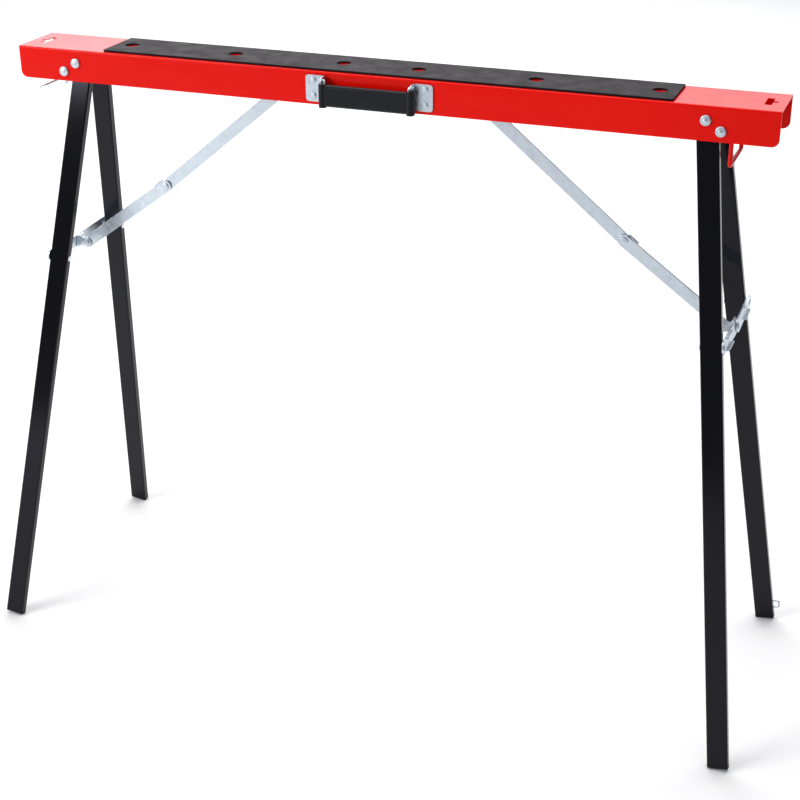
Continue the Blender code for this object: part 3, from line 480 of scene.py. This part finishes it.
def plastic(name, glaze=0.40):
    """Moulded black plastic with a fine spark-eroded grain."""
    f = Finish(name, specular=0.26, tint=(0.90, 0.90, 1.0))
    tone = f.ramp(f.noise(30, detail=3), (0.3, (0.0045, 0.0052, 0.0062)), (0.7, (0.0065, 0.0072, 0.0084)))
    f.colour(tone)
    f.roughness(f.level(f.noise(80, detail=4), glaze - 0.06, glaze + 0.08))
    f.bump(f.noise(2100, detail=2), 0.00004)
    return f.material


FINISHES = {
    "red": (red_paint(), "red_paint"),
    "black": (black_paint(), "black_paint"),
    "sheet": (zinc("zinc_sheet", (0.05, 1, 1)), "zinc_plate"),
    "head": (zinc("zinc_head", patch=420), "zinc_plate"),
    "plate": (zinc("zinc_bracket", (1, 1, 0.06), patch=110), "zinc_plate"),
    "wire": (zinc("zinc_wire", patch=240), "zinc_plate"),
    "rubber": (rubber(), "rubber"),
    "grip": (plastic("grip_plastic", 0.30), "black_plastic"),
    "cap": (plastic("foot_plastic", 0.5), "black_plastic"),
}


def piece(name, item, finish, *nodes, x_axis=(1, 0, 0), z_axis=(0, 0, 1), bevel=0.0003, segments=2):
    """Give a built mesh its own axes, soft edges and finish, and ride it on its nodes' body."""
    mesh = item.data
    item.name = name
    mesh.name = name
    work = bmesh.new()
    work.from_mesh(mesh)
    bmesh.ops.remove_doubles(work, verts=work.verts, dist=0.000002)
    bmesh.ops.dissolve_limit(work, angle_limit=0.0005, verts=work.verts, edges=work.edges)
    bmesh.ops.recalc_face_normals(work, faces=work.faces)
    low = Vector([min(v.co[i] for v in work.verts) for i in range(3)])
    high = Vector([max(v.co[i] for v in work.verts) for i in range(3)])
    z = Vector(z_axis).normalized()
    x = Vector(x_axis)
    x = (x - z * x.dot(z)).normalized()
    turn = Matrix((x, z.cross(x), z)).transposed().to_4x4()
    place = Matrix.Translation((low + high) / 2) @ turn
    back = place.inverted()
    for vert in work.verts:
        vert.co = back @ vert.co
    for face in work.faces:
        face.smooth = True
    work.to_mesh(mesh)
    work.free()
    item.matrix_world = place
    if bevel:
        edge = item.modifiers.new("soft_edges", "BEVEL")
        edge.width = bevel
        edge.segments = segments
        edge.limit_method = "ANGLE"
        edge.angle_limit = math.radians(32)
        edge.use_clamp_overlap = True
        level = item.modifiers.new("even_shading", "WEIGHTED_NORMAL")
        level.weight = 80
        level.keep_sharp = True
    material, slot = FINISHES[finish]
    mesh.materials.clear()
    mesh.materials.append(material)
    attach(item, BODY_OF[nodes[0]])
    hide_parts(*nodes)
    return item


class End:
    """The tilted frame of one leg pair, read from its joints."""

    def __init__(self, name):
        self.name = name
        self.pivot = Vector(JOINTS["fold_" + name]["pos_m"])
        self.sign = math.copysign(1, self.pivot.x)
        self.out = Vector(JOINTS["splay_back_" + name]["axis"]).normalized()
        if self.out.x * self.sign < 0:
            self.out.negate()
        self.down = Vector((self.sign * self.out.z, 0, -abs(self.out.x)))
        self.x_axis = self.out * self.sign

    def point(self, out, y, drop):
        return self.pivot + self.out * out + Vector((0, y, 0)) + self.down * drop

    def local(self, point):
        arm = Vector(point) - self.pivot
        return arm.dot(self.out), arm.y, arm.dot(self.down)

    def joint(self, kind, side=""):
        label = kind + "_" + (side + "_" if side else "") + self.name
        return Vector(JOINTS[label]["pos_m"])

    def leg_axes(self, side):
        """Directions across and down a leg, the first away from the middle plane."""
        reach = self.joint("link", side) - self.joint("splay", side)
        down = (reach - self.out * reach.dot(self.out)).normalized()
        away = Vector((0, math.copysign(1, reach.y), 0))
        return (away - down * away.dot(down)).normalized(), down

    def leg_place(self, side):
        across, down = self.leg_axes(side)
        origin = self.joint("splay", side)
        return lambda a, b, depth: origin + self.out * a + across * b + down * depth


# ---- beam, pad and bolts ----
BEAM_LOW, BEAM_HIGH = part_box("beam")
ENDS = (End("left"), End("right"))
MIDDLE_X = (BEAM_LOW.x + BEAM_HIGH.x) / 2


def key_slot(end):
    """Cutter for the hanging slot: a long slot across, with a short arm outwards."""
    s = end.sign
    x = (BEAM_HIGH.x - BEAM_LOW.x) / 2 - SLOT_IN
    low, high, half = x - SLOT_HALF[0], x + SLOT_HALF[0], SLOT_HALF[1]
    tip, arm = x + SLOT_ARM[0], SLOT_ARM[1]
    outline = [(low, -half), (high, -half), (high, -arm), (tip, -arm),
               (tip, arm), (high, arm), (high, half), (low, half)]
    outline = [(MIDDLE_X + s * a, b) for a, b in outline]
    return prism(outline, along_z, BEAM_HIGH.z - WEB_OVERCUT, BEAM_HIGH.z + WEB_OVERCUT)


def build_beam():
    half = BEAM_HIGH.y
    top = BEAM_HIGH.z
    bottom = BEAM_LOW.z
    inner = half - BEAM_WALL
    inner_bend = BEAM_BEND - BEAM_WALL
    bend = BEAM_BEND
    section = [(half, bottom)] + arc(half - bend, top - bend, bend, 0, 90, 10)
    section += arc(-half + bend, top - bend, bend, 90, 180, 10) + [(-half, bottom), (-inner, bottom)]
    section += arc(-half + bend, top - bend, inner_bend, 180, 90, 6)
    section += arc(half - bend, top - bend, inner_bend, 90, 0, 6) + [(inner, bottom)]
    beam = prism(section, along_x, BEAM_LOW.x, BEAM_HIGH.x)
    over = 0.002
    tools = []
    for end in ENDS:
        tip = BEAM_HIGH.x if end.sign > 0 else BEAM_LOW.x
        corner_x = tip - end.sign * BEAM_CORNER
        corner_z = bottom + BEAM_CORNER
        last = 360 if end.sign > 0 else 180
        outside = [(tip + end.sign * over, corner_z), (tip + end.sign * over, bottom - over),
                   (corner_x, bottom - over)]
        curve = arc(corner_x, corner_z, BEAM_CORNER, 270, last, 14)
        tools.append(prism(curve + outside, along_y, -half - over, half + over))
        for pin in ("fold_pin_", "stop_pin_"):
            centre = middle(pin + end.name)
            tools.append(prism(circle(centre.x, centre.z, BOLT_CLEAR), along_y, -half - over, half + over))
        tools.append(key_slot(end))
        for x in PAD_HOLES_X:
            hole = circle(MIDDLE_X + end.sign * x, 0, WEB_HOLE_RADIUS, HOLE_STEPS)
            tools.append(prism(hole, along_z, top - WEB_OVERCUT, top + WEB_OVERCUT))
    piece("beam_channel", cut(beam, tools), "red", "beam", bevel=0.00025)


def build_pad():
    low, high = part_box("rubber_pad")
    pad = prism(rounded(low.x, low.y, high.x, high.y, PAD_CORNER), along_z, low.z, high.z)
    holes = [circle(MIDDLE_X + sign * x, 0, PAD_HOLE_RADIUS, HOLE_STEPS) for x in PAD_HOLES_X for sign in (-1, 1)]
    tools = [prism(hole, along_z, low.z - OVERCUT, high.z + OVERCUT) for hole in holes]
    piece("pad_sheet", cut(pad, tools), "rubber", "rubber_pad", bevel=0.0005, segments=3)


def button(radius, height, seat, away, dish=0.00018):
    """Pressed head from its seat to the middle: rolled rim, shallow dish and flat centre."""
    roll = height * 0.42
    points = [(radius, seat), (radius, seat + away * height * 0.16)]
    for k in range(1, 7):
        angle = math.pi / 2 * k / 6
        rise = height * 0.16 + height * 0.62 * math.sin(angle)
        points.append((radius - roll * (1 - math.cos(angle)), seat + away * rise))
    crown = radius - roll
    points.append((crown * 0.90, seat + away * height * 0.80))
    points.append((crown * 0.80, seat + away * (height * 0.80 - dish * 0.6)))
    points.append((crown * 0.70, seat + away * (height * 0.82 - dish)))
    for share, rise in ((0.5, 0.90), (0.28, 0.965), (0.12, 0.99)):
        points.append((crown * share, seat + away * height * rise))
    return points + [(0, seat + away * height)]


def build_bolt(node):
    """Cross pin with a pressed head at each flange."""
    low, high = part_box(node)
    centre = middle(node)
    seat = BEAM_HIGH.y + GAP
    height = high.y - seat
    radius = (high.x - low.x) / 2
    shank = BOLT_CLEAR - GAP
    front = button(radius, height, -seat, -1)[::-1]
    profile = front + [(shank, -seat), (shank, seat)] + button(radius, height, seat, 1)
    item = revolve(profile, lambda a, b, depth: (centre.x + a, depth, centre.z + b), 48)
    piece(node.replace("_pin_", "_bolt_"), item, "head", node, bevel=0.00012)


# ---- handle ----
HANDLE = Vector(JOINTS["handle_swing"]["pos_m"])


def build_handle_plate(sign, name):
    """Bracket plate: rolled rim, a dimple round each rivet and a pierced ear for the grip's wire."""
    low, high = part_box("handle_plate_" + name)
    back = high.y
    front = back - PLATE_THICKNESS
    outline = rounded(low.x, low.z, high.x, high.z, PLATE_CORNER, 8)
    plate = prism(outline, along_y, front, back)
    inner_x = low.x if sign > 0 else high.x
    ear_x = sorted((inner_x + sign * EAR_INSET, inner_x + sign * PLATE_THICKNESS))
    ear = arc(HANDLE.y, HANDLE.z, EAR_RADIUS, 90, 270, 18)
    root = back - EAR_INSET
    ear += [(root, HANDLE.z - EAR_RADIUS), (root, HANDLE.z + EAR_RADIUS - EAR_INSET)]
    body = fuse(plate, [prism(ear, along_x, ear_x[0], ear_x[1])])
    tools = [prism(circle(HANDLE.y, HANDLE.z, WIRE + GAP),
                   along_x, ear_x[0] - 3 * OVERCUT, ear_x[1] + 3 * OVERCUT)]
    for level in ("upper", "lower"):
        centre = middle("handle_rivet_" + level + "_" + name)
        tools.append(prism(circle(centre.x, centre.z, PLATE_RIVET_HOLE),
                           along_y, front - OVERCUT, back + OVERCUT))
        dimple = [(0, front - OVERCUT), (DIMPLE_RADII[0], front - OVERCUT), (DIMPLE_RADII[1], front),
                  (DIMPLE_RADII[2], front + DIMPLE_DEPTH), (0, front + DIMPLE_DEPTH)]
        tools.append(revolve(dimple, lambda a, b, depth: (centre.x + a, depth, centre.z + b)))
    piece("grip_bracket_" + name, cut(body, tools), "plate", "handle_plate_" + name, bevel=0.00045, segments=3)


def build_plate_rivet(node):
    low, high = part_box(node)
    centre = middle(node)
    radius = (high.x - low.x) / 2
    head = low.y + PLATE_RIVET_HEIGHT
    profile = [(0, high.y), (PLATE_RIVET_SHANK, high.y), (PLATE_RIVET_SHANK, head)]
    profile += button(radius, head - low.y, head, -1, 0.00006)
    item = revolve(profile, lambda a, b, depth: (centre.x + a, depth, centre.z + b), FINE)
    piece(node.replace("handle_rivet", "bracket_rivet"), item, "head", node, bevel=0.00006)


def build_handle_pin(sign, name):
    """Bent wire: up out of the grip's post, then outwards through the bracket's ear."""
    low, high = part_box("handle_pin_" + name)
    inner, tip = (low.x, high.x) if sign > 0 else (high.x, low.x)
    x = inner + sign * WIRE
    corners = [(x, HANDLE.y, low.z), (x, HANDLE.y, HANDLE.z), (tip, HANDLE.y, HANDLE.z)]
    wire = sweep(fillet_path(corners, WIRE_BEND, 10), WIRE, 18)
    piece("grip_wire_" + name, wire, "wire", "handle_pin_" + name, bevel=0.00015)


def build_grip():
    """Flat moulded grip with a round post at each end."""
    low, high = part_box("handle_grip")
    mid_y = HANDLE.y
    half = (high.y - low.y) / 2
    slab_half = half - SLAB_INSET
    outline = rounded(mid_y - slab_half, low.z + SLAB_INSET, mid_y + slab_half, high.z - SLAB_INSET,
                      SLAB_CORNER, 8)
    slab = prism(outline, along_x, low.x + POST_LENGTH / 2, high.x - POST_LENGTH / 2)
    posts = []
    holes = []
    for sign, name in ((-1, "left"), (1, "right")):
        tip = high.x if sign > 0 else low.x
        ends = sorted((tip, tip - sign * POST_LENGTH))
        pin_low, pin_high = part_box("handle_pin_" + name)
        x = (pin_low.x if sign > 0 else pin_high.x) + sign * WIRE
        outline = rounded(ends[0], mid_y - half, ends[1], mid_y + half, POST_CORNER, 10)
        posts.append(prism(outline, along_z, low.z, high.z))
        holes.append(prism(circle(x, mid_y, WIRE + GAP), along_z, pin_low.z - OVERCUT, high.z + OVERCUT))
    piece("carry_grip", cut(fuse(slab, posts), holes), "grip", "handle_grip", bevel=0.0007, segments=3)


# ---- wires ----
def build_keeper():
    low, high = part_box("keeper_loop")
    radius = (high.x - low.x) / 2
    x = (low.x + high.x) / 2
    y = high.y - radius
    corners = [(x, -y, high.z), (x, -y, low.z + radius), (x, y, low.z + radius), (x, y, high.z)]
    piece("keeper_rod", sweep(fillet_path(corners, ROD_BEND), radius), "red", "keeper_loop", bevel=0.0003)


def build_bail():
    """Wire catch: an eye round the stop bolt at each flange and a long bow out under the beam's end."""
    centre = Vector(JOINTS["bail_swing"]["pos_m"])
    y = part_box("wire_bail")[1].y - WIRE
    eye = BOLT_CLEAR + WIRE
    bow_x = centre.x - BAIL_REACH
    bow_z = centre.z - BAIL_DROP
    half = []
    for k in range(33):
        angle = math.radians(-15 + 255 * k / 32)
        half.append((centre.x + eye * math.cos(angle), -y, centre.z + eye * math.sin(angle)))
    arm = [half[-1], (centre.x - BAIL_ELBOW[0], -y, centre.z - BAIL_ELBOW[1]),
           (bow_x, -y, bow_z), (bow_x, 0, bow_z)]
    front = half[:-1] + [tuple(p) for p in fillet_path(arm, BAIL_BEND, 8)[:-1]]
    back = [(px, -py, pz) for px, py, pz in front][::-1]
    piece("catch_wire", sweep(front + back, WIRE, 12), "wire", "wire_bail", bevel=0)


def build_clip(end):
    place = end.leg_place("back")
    low, high = span("foot_clip", end.joint("splay", "back"), end.leg_axes("back")[1])
    root = span("foot_clip", end.joint("splay", "back"), end.out)
    far = root[1] - CLIP_WIRE
    low += CLIP_WIRE
    high -= CLIP_WIRE
    corners = [place(root[0], 0, low), place(far, 0, low), place(far, 0, high), place(root[0], 0, high)]
    piece("foot_staple", sweep(fillet_path(corners, ROD_BEND), CLIP_WIRE, 14), "wire", "foot_clip", bevel=0.0002)


# ---- leg pairs ----
def build_carrier(end):
    node = "carrier_" + end.name
    outs = span(node, end.pivot, end.out)
    inner = outs[0] + CARRIER_PLATE
    outer = outs[0]
    half = span(node, end.pivot, Vector((0, 1, 0)))[1]
    bottom = span(node, end.pivot, end.down)[1]
    plate = prism(rounded(-half, -CARRIER_TOP, half, bottom, CARRIER_CORNER),
                  lambda a, b, depth: end.point(depth, a, b), outer, inner)
    ears = []
    root = inner - EAR_BITE
    for side in (-1, 1):
        shape = arc(0, 0, EAR_TIP_RADIUS, -90, 90, 24) + [(root, EAR_ROOT_DROP), (root, -EAR_ROOT_RISE)]
        low, high = sorted((side * (EAR_OUTER - CARRIER_PLATE), side * EAR_OUTER))
        ears.append(prism(shape, lambda a, b, depth: end.point(a, depth, b), low, high))
    tools = [prism(circle(0, 0, TUBE_HOLE), lambda a, b, depth: end.point(a, depth, b), -TUBE_CUT, TUBE_CUT)]
    for side in ("front", "back"):
        _, y, drop = end.local(end.joint("splay", side))
        tools.append(prism(circle(y, drop, SPLAY_HOLE), lambda a, b, depth: end.point(depth, a, b),
                           outer - OVERCUT, inner + OVERCUT))
    piece("hinge_plate_" + end.name, cut(fuse(plate, ears), tools), "red", node,
          x_axis=end.x_axis, z_axis=-end.down, bevel=0.00025)


def build_leg(end, side):
    """Rectangular tube with rounded corners, open at the top and capped at the foot."""
    label = side + "_" + end.name
    node = "leg_" + label
    across, down = end.leg_axes(side)
    origin = end.joint("splay", side)
    place = end.leg_place(side)
    wide = span(node, origin, end.out)
    thick = span(node, origin, across)
    long_way = span(node, origin, down)
    outer = rounded(wide[0], thick[0], wide[1], thick[1], LEG_CORNER, 7)
    inner = rounded(wide[0] + LEG_WALL, thick[0] + LEG_WALL, wide[1] - LEG_WALL, thick[1] - LEG_WALL,
                    LEG_CORNER - LEG_WALL, 7)
    tube = tube_prism(outer, inner, place, long_way[0], long_way[1])

    def through(a, b, depth):
        return place(depth, a, b)

    rivet = (end.joint("link", side) - origin).dot(down)
    tools = [prism(circle(0, drop, radius), through, wide[0] - OVERCUT, wide[1] + OVERCUT)
             for drop, radius in ((0, SPLAY_HOLE), (rivet, LINK_HOLE))]
    piece("leg_tube_" + label, cut(tube, tools), "black", node, x_axis=end.x_axis, z_axis=-down, bevel=0.0002)

    cap = "foot_cap_" + label
    ends = span(cap, origin, down)
    foot_low = long_way[1] + GAP
    inset = LEG_WALL + GAP
    plug = rounded(wide[0] + inset, thick[0] + inset, wide[1] - inset, thick[1] - inset, PLUG_CORNER, 7)
    tread = rounded(wide[0], thick[0], wide[1], thick[1], LEG_CORNER, 7)
    slim = rounded(wide[0] + SEAM, thick[0] + SEAM, wide[1] - SEAM, thick[1] - SEAM, LEG_CORNER - SEAM, 7)
    rings = [[place(a, b, ends[0]) for a, b in plug], [place(a, b, foot_low) for a, b in plug],
             [place(a, b, foot_low) for a, b in tread]]
    for k in range(1, 3):
        groove = foot_low + GROOVE_PITCH * k
        rings += [[place(a, b, groove - SEAM) for a, b in tread],
                  [place(a, b, groove - SEAM_FLOOR) for a, b in slim],
                  [place(a, b, groove + SEAM_FLOOR) for a, b in slim],
                  [place(a, b, groove + SEAM) for a, b in tread]]
    mid_a = (wide[0] + wide[1]) / 2
    mid_b = (thick[0] + thick[1]) / 2
    rings += [[place(a, b, ends[1] - CAP_CHAMFER) for a, b in tread],
              [place(mid_a + (a - mid_a) * CAP_TAPER, mid_b + (b - mid_b) * CAP_TAPER, ends[1])
               for a, b in tread]]
    piece("foot_plug_" + label, loft(rings), "cap", cap, x_axis=end.x_axis, z_axis=-down, bevel=0.0002)


def link_frame(end, side):
    """Placing function of a spreader link from its leg rivet to the middle plane, and its length."""
    start = end.joint("link", side)
    _, y, drop = end.local(start)
    sag = end.local(middle("centre_rivet_" + end.name))[2] - drop
    length = math.hypot(y, sag)
    run = Vector((0, -y / length, 0)) + end.down * (sag / length)
    cross = Vector((0, math.copysign(1, y) * sag / length, 0)) + end.down * (abs(y) / length)
    base = end.pivot + Vector((0, y, 0)) + end.down * drop

    def place(out, a, b):
        return base + end.out * out + run * a + cross * b

    return place, length, run


def build_link(end, side):
    """Pressed spreader link: round ends and a turned-up rim along both edges."""
    label = side + "_" + end.name
    node = "link_" + label
    place, length, run = link_frame(end, side)
    low, top = span(node, end.pivot, end.out)
    high = low + LINK_THICKNESS
    half = LINK_WIDTH / 2

    def on_face(a, b, depth):
        return place(depth, a, b)

    body = prism(strap_outline(length, LINK_WIDTH), on_face, low, high)
    rims = []
    rim_tip = length - LINK_RIM_START - LINK_RIM_SHORT
    for edge in (-1, 1):
        rows = sorted((edge * (half - INSET), edge * (half - LINK_RIM_THICKNESS)))
        outline = [(LINK_RIM_END, rows[0]), (rim_tip, rows[0]), (rim_tip, rows[1]), (LINK_RIM_END, rows[1])]
        rims.append(prism(outline, on_face, low + LINK_THICKNESS / 2, top))
    ends = (0, length) if side == "back" else (0,)
    tools = [prism(circle(a, 0, LINK_HOLE), on_face, low - OVERCUT, high + OVERCUT) for a in ends]
    piece("spreader_" + label, cut(fuse(body, rims), tools), "sheet", node,
          x_axis=run, z_axis=end.out, bevel=0.0003)


def build_link_rivet(end, side):
    """Leg rivet: heads on both faces of the leg and link, with a spacer shoulder at the outer link."""
    label = side + "_" + end.name
    node = "link_rivet_" + label
    low, high = span(node, end.pivot, end.out)
    origin = end.joint("link", side)
    across, down = end.leg_axes(side)
    head, shank, tall = RIVET_HEAD, RIVET_SHANK, RIVET_HEIGHT
    centre = origin - end.out * (origin - end.pivot).dot(end.out)
    face = low + RIVET_TAIL_HEIGHT
    profile = button(RIVET_TAIL, RIVET_TAIL_HEIGHT, face, -1, 0.00004)[::-1] + [(shank, face)]
    front_low = span("link_front_" + end.name, end.pivot, end.out)[0]
    if side == "back":
        back_low = span("link_back_" + end.name, end.pivot, end.out)[0]
        profile += [(shank, front_low), (head, front_low), (head, back_low - GAP), (shank, back_low - GAP)]
    outer = high - tall
    profile += [(shank, outer)] + button(head, tall, outer, 1, 0.00008)
    item = revolve(profile, lambda a, b, depth: centre + end.out * depth + across * a + down * b, FINE)
    piece("leg_rivet_" + label, item, "head", node, x_axis=across, z_axis=end.out, bevel=0.00008)


def build_centre_rivet(end):
    node = "centre_rivet_" + end.name
    low, high = span(node, end.pivot, end.out)
    drop = end.local(middle(node))[2]
    head = high - RIVET_HEIGHT
    profile = [(0, low), (RIVET_SHANK, low), (RIVET_SHANK, head)]
    profile += button(RIVET_HEAD, RIVET_HEIGHT, head, 1, 0.00006)
    item = revolve(profile, lambda a, b, depth: end.point(depth, a, drop + b), FINE)
    piece("spreader_rivet_" + end.name, item, "head", node, z_axis=end.out, x_axis=(0, 1, 0), bevel=0.00008)


def build_clevis(end):
    """Angle bracket between the spreader and the brace: a face plate and one cheek."""
    node = "clevis_" + end.name
    pin = end.joint("brace_pin")
    pin_out, _, drop = end.local(pin)
    high = span(node, end.pivot, end.out)[1]
    low = high - CHEEK_THICKNESS
    half = CLEVIS_HALF
    base = prism(rounded(-half, drop - half, half, drop + half, CLEVIS_CORNER),
                 lambda a, b, depth: end.point(depth, a, b), low, high)
    shape = arc(pin_out, drop, CLEVIS_CHEEK_RADIUS, 90, 270, 20)
    root = half - CLEVIS_CHEEK_STEP
    shape += [(low + CHEEK_THICKNESS / 2, drop - root), (low + CHEEK_THICKNESS / 2, drop + root)]
    cheek = prism(shape, lambda a, b, depth: end.point(a, depth, b),
                  -CHEEK_INNER - CHEEK_THICKNESS, -CHEEK_INNER)
    hole = prism(circle(pin_out, drop, PIN_CLEAR), lambda a, b, depth: end.point(a, depth, b), -CHEEK_CUT, 0.0)
    piece("brace_bracket_" + end.name, cut(fuse(base, [cheek]), [hole]), "plate", node,
          x_axis=end.x_axis, z_axis=-end.down, bevel=0.0003)


def cross_rivet(name, node, centre, toward, size, shank=0.0025):
    """Rivet along Y with its head on the side that toward points to."""
    low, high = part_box(node)
    head_radius, tall = size
    start, tip = (low.y, high.y) if toward > 0 else (high.y, low.y)
    head = tip - toward * tall
    profile = [(0, start), (shank, start), (shank, head)] + button(head_radius, tall, head, toward, 0.00008)
    item = revolve(profile, lambda a, b, depth: (centre[0] + a, depth, centre[1] + b), FINE)
    piece(name, item, "head", node, bevel=0.00008)


def strap_place(start, finish_point):
    dx = finish_point[0] - start[0]
    dz = finish_point[1] - start[1]
    length = math.hypot(dx, dz)
    ux = dx / length
    uz = dz / length

    def place(a, b, depth):
        return (start[0] + a * ux - b * uz, depth, start[1] + a * uz + b * ux)

    return place, length, Vector((ux, 0, uz))


def build_straps(end):
    """Brace of two flat straps; the upper one carries the lock tab over the lower one's end."""
    anchor = end.joint("brace_anchor")
    pin = end.joint("brace_pin")
    elbow = middle("elbow_rivet_upper_" + end.name)
    place, length, run = strap_place((anchor.x, anchor.z), (elbow.x, elbow.z))
    low = STRAP_HALF_GAP
    high = low + STRAP_THICKNESS
    half = STRAP_WIDTH / 2
    up = end.sign
    body = prism(strap_outline(length, STRAP_WIDTH), place, low, high)
    tab_low = length + TAB_START
    tab_high = length + TAB_END
    crest = half + TAB_PROUD
    shelf = crest - TAB_THICKNESS
    ear_outline = [(length - TAB_START, half - TAB_ROOTS[0]), (length, crest),
                   (tab_high, crest), (tab_high, shelf),
                   (tab_low, half - TAB_ROOTS[1]), (tab_low - TAB_ROOTS[1], 0.0)]
    ear = prism([(a, up * b) for a, b in ear_outline], place, low + INSET, high - INSET)
    tab_outline = [(tab_low, shelf + INSET), (tab_high - INSET, shelf + INSET),
                   (tab_high - INSET, crest - INSET), (tab_low, crest - INSET)]
    tab = prism([(a, up * b) for a, b in tab_outline], place,
                -STRAP_HALF_GAP - STRAP_THICKNESS, high - 2 * INSET)
    body = fuse(body, [ear, tab])
    tools = [prism(circle(a, 0, PIN_CLEAR), place, low - OVERCUT, high + OVERCUT) for a in (0, length)]
    piece("brace_upper_" + end.name, cut(body, tools), "sheet", "upper_strap_" + end.name,
          x_axis=run, z_axis=(0, -1, 0), bevel=0.0004)

    place, length, run = strap_place((pin.x, pin.z), (elbow.x, elbow.z))
    body = prism(strap_outline(length, STRAP_WIDTH), place, -low - STRAP_THICKNESS, -low)
    tools = [prism(circle(a, 0, PIN_CLEAR), place, -high - OVERCUT, -low + OVERCUT) for a in (0, length)]
    piece("brace_lower_" + end.name, cut(body, tools), "sheet", "lower_strap_" + end.name,
          x_axis=run, z_axis=(0, -1, 0), bevel=0.0004)

    for level, away in (("lower", -1), ("upper", 1)):
        cross_rivet("elbow_head_" + level + "_" + end.name, "elbow_rivet_" + level + "_" + end.name,
                    (elbow.x, elbow.z), away, ELBOW_HEAD)
    cross_rivet("bracket_pin_" + end.name, "brace_pin_" + end.name, (pin.x, pin.z), -1, BRACE_HEAD)
    cross_rivet("saddle_pin_" + end.name, "anchor_pin_" + end.name, (anchor.x, anchor.z), -1, ANCHOR_HEAD)


def build_anchor(end):
    node = "anchor_" + end.name
    low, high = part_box(node)
    pivot = end.joint("brace_anchor")
    half = CHEEK_INNER + CHEEK_THICKNESS
    base = prism(rounded(low.x, low.y, high.x, high.y, ANCHOR_CORNER), along_z, high.z - ANCHOR_BASE, high.z)
    cheeks = []
    for side in (-1, 1):
        outline = arc(pivot.x, pivot.z, ANCHOR_CHEEK, 180, 360, 20)
        outline += [(pivot.x + ANCHOR_CHEEK, high.z - OVERCUT), (pivot.x - ANCHOR_CHEEK, high.z - OVERCUT)]
        rows = sorted((side * CHEEK_INNER, side * half))
        cheeks.append(prism(outline, along_y, rows[0], rows[1]))
    hole = prism(circle(pivot.x, pivot.z, PIN_CLEAR), along_y, -ANCHOR_CUT, ANCHOR_CUT)
    piece("brace_saddle_" + end.name, cut(fuse(base, cheeks), [hole]), "plate", node, bevel=0.0002)


def build_end(end):
    build_carrier(end)
    for side in ("front", "back"):
        build_leg(end, side)
        build_link(end, side)
        build_link_rivet(end, side)
    build_centre_rivet(end)
    build_clevis(end)
    build_straps(end)
    build_anchor(end)


def dress_kept_nodes():
    """The plain hidden pieces keep their own meshes and take a finish."""
    for node in NODES.values():
        if node.hide_render:
            continue
        for slot in node.material_slots:
            slot.material = FINISHES["head"][0]


# ---- studio ----
def area_light(name, place, target, size, power, colour=(1, 1, 1)):
    data = bpy.data.lights.new(name, "AREA")
    data.shape = "RECTANGLE"
    data.size, data.size_y = size
    data.energy = power
    data.color = colour
    lamp = bpy.data.objects.new(name, data)
    lamp.location = place
    lamp.rotation_euler = (Vector(target) - Vector(place)).to_track_quat("-Z", "Y").to_euler()
    bpy.context.collection.objects.link(lamp)
    return lamp


def build_floor():
    floor = mesh_object("floor", [(-8, -3.2, 0), (8, -3.2, 0), (8, 10, 0), (-8, 10, 0)], [[0, 1, 2, 3]])
    f = Finish("pale_floor", specular=0.0)
    f.colour(f.ramp(f.noise(3, detail=4), (0.3, (0.90, 0.90, 0.90)), (0.7, (0.93, 0.93, 0.93))))
    f.shader.inputs["Roughness"].default_value = 0.9
    floor.data.materials.append(f.material)


def build_studio():
    world = bpy.data.worlds.new("studio")
    bpy.context.scene.world = world
    world.use_nodes = True
    world.node_tree.nodes["Background"].inputs["Color"].default_value = (0.92, 0.95, 1.0, 1.0)
    world.node_tree.nodes["Background"].inputs["Strength"].default_value = 0.26
    area_light("overhead", (0.0, 0.4, 3.2), (0, 0.3, 0.2), (4.0, 3.0), 72)
    area_light("key_left", (-2.8, -2.8, 2.0), (-0.2, 0, 0.7), (2.0, 1.6), 104)
    area_light("rear_left", (-2.9, 3.9, 2.5), (-0.2, 0, 0.8), (3.0, 1.6), 46, (0.97, 0.97, 1.0))
    area_light("rear_right", (-0.5, 3.9, 2.5), (-0.2, 0, 0.8), (1.9, 1.6), 19, (0.97, 0.97, 1.0))
    area_light("far_floor", (-0.8, 3.8, 4.4), (-0.8, 4.4, 0), (7.0, 4.0), 150)
    scene = bpy.context.scene
    scene.view_settings.view_transform = "Standard"
    camera_data = bpy.data.cameras.new("camera")
    camera_data.lens = LENS
    camera_data.sensor_width = 36
    camera = bpy.data.objects.new("camera", camera_data)
    camera.location = CAMERA_PLACE
    camera.rotation_euler = [math.radians(turn) for turn in CAMERA_TURN]
    bpy.context.collection.objects.link(camera)
    scene.camera = camera


def main():
    build_studio()
    build_floor()
    build_beam()
    build_pad()
    for end in ENDS:
        build_bolt("fold_pin_" + end.name)
        build_bolt("stop_pin_" + end.name)
        build_end(end)
    for sign, name in ((-1, "left"), (1, "right")):
        build_handle_plate(sign, name)
        build_handle_pin(sign, name)
        for level in ("upper", "lower"):
            build_plate_rivet("handle_rivet_" + level + "_" + name)
    build_grip()
    build_keeper()
    build_bail()
    build_clip(ENDS[1])
    dress_kept_nodes()


main()
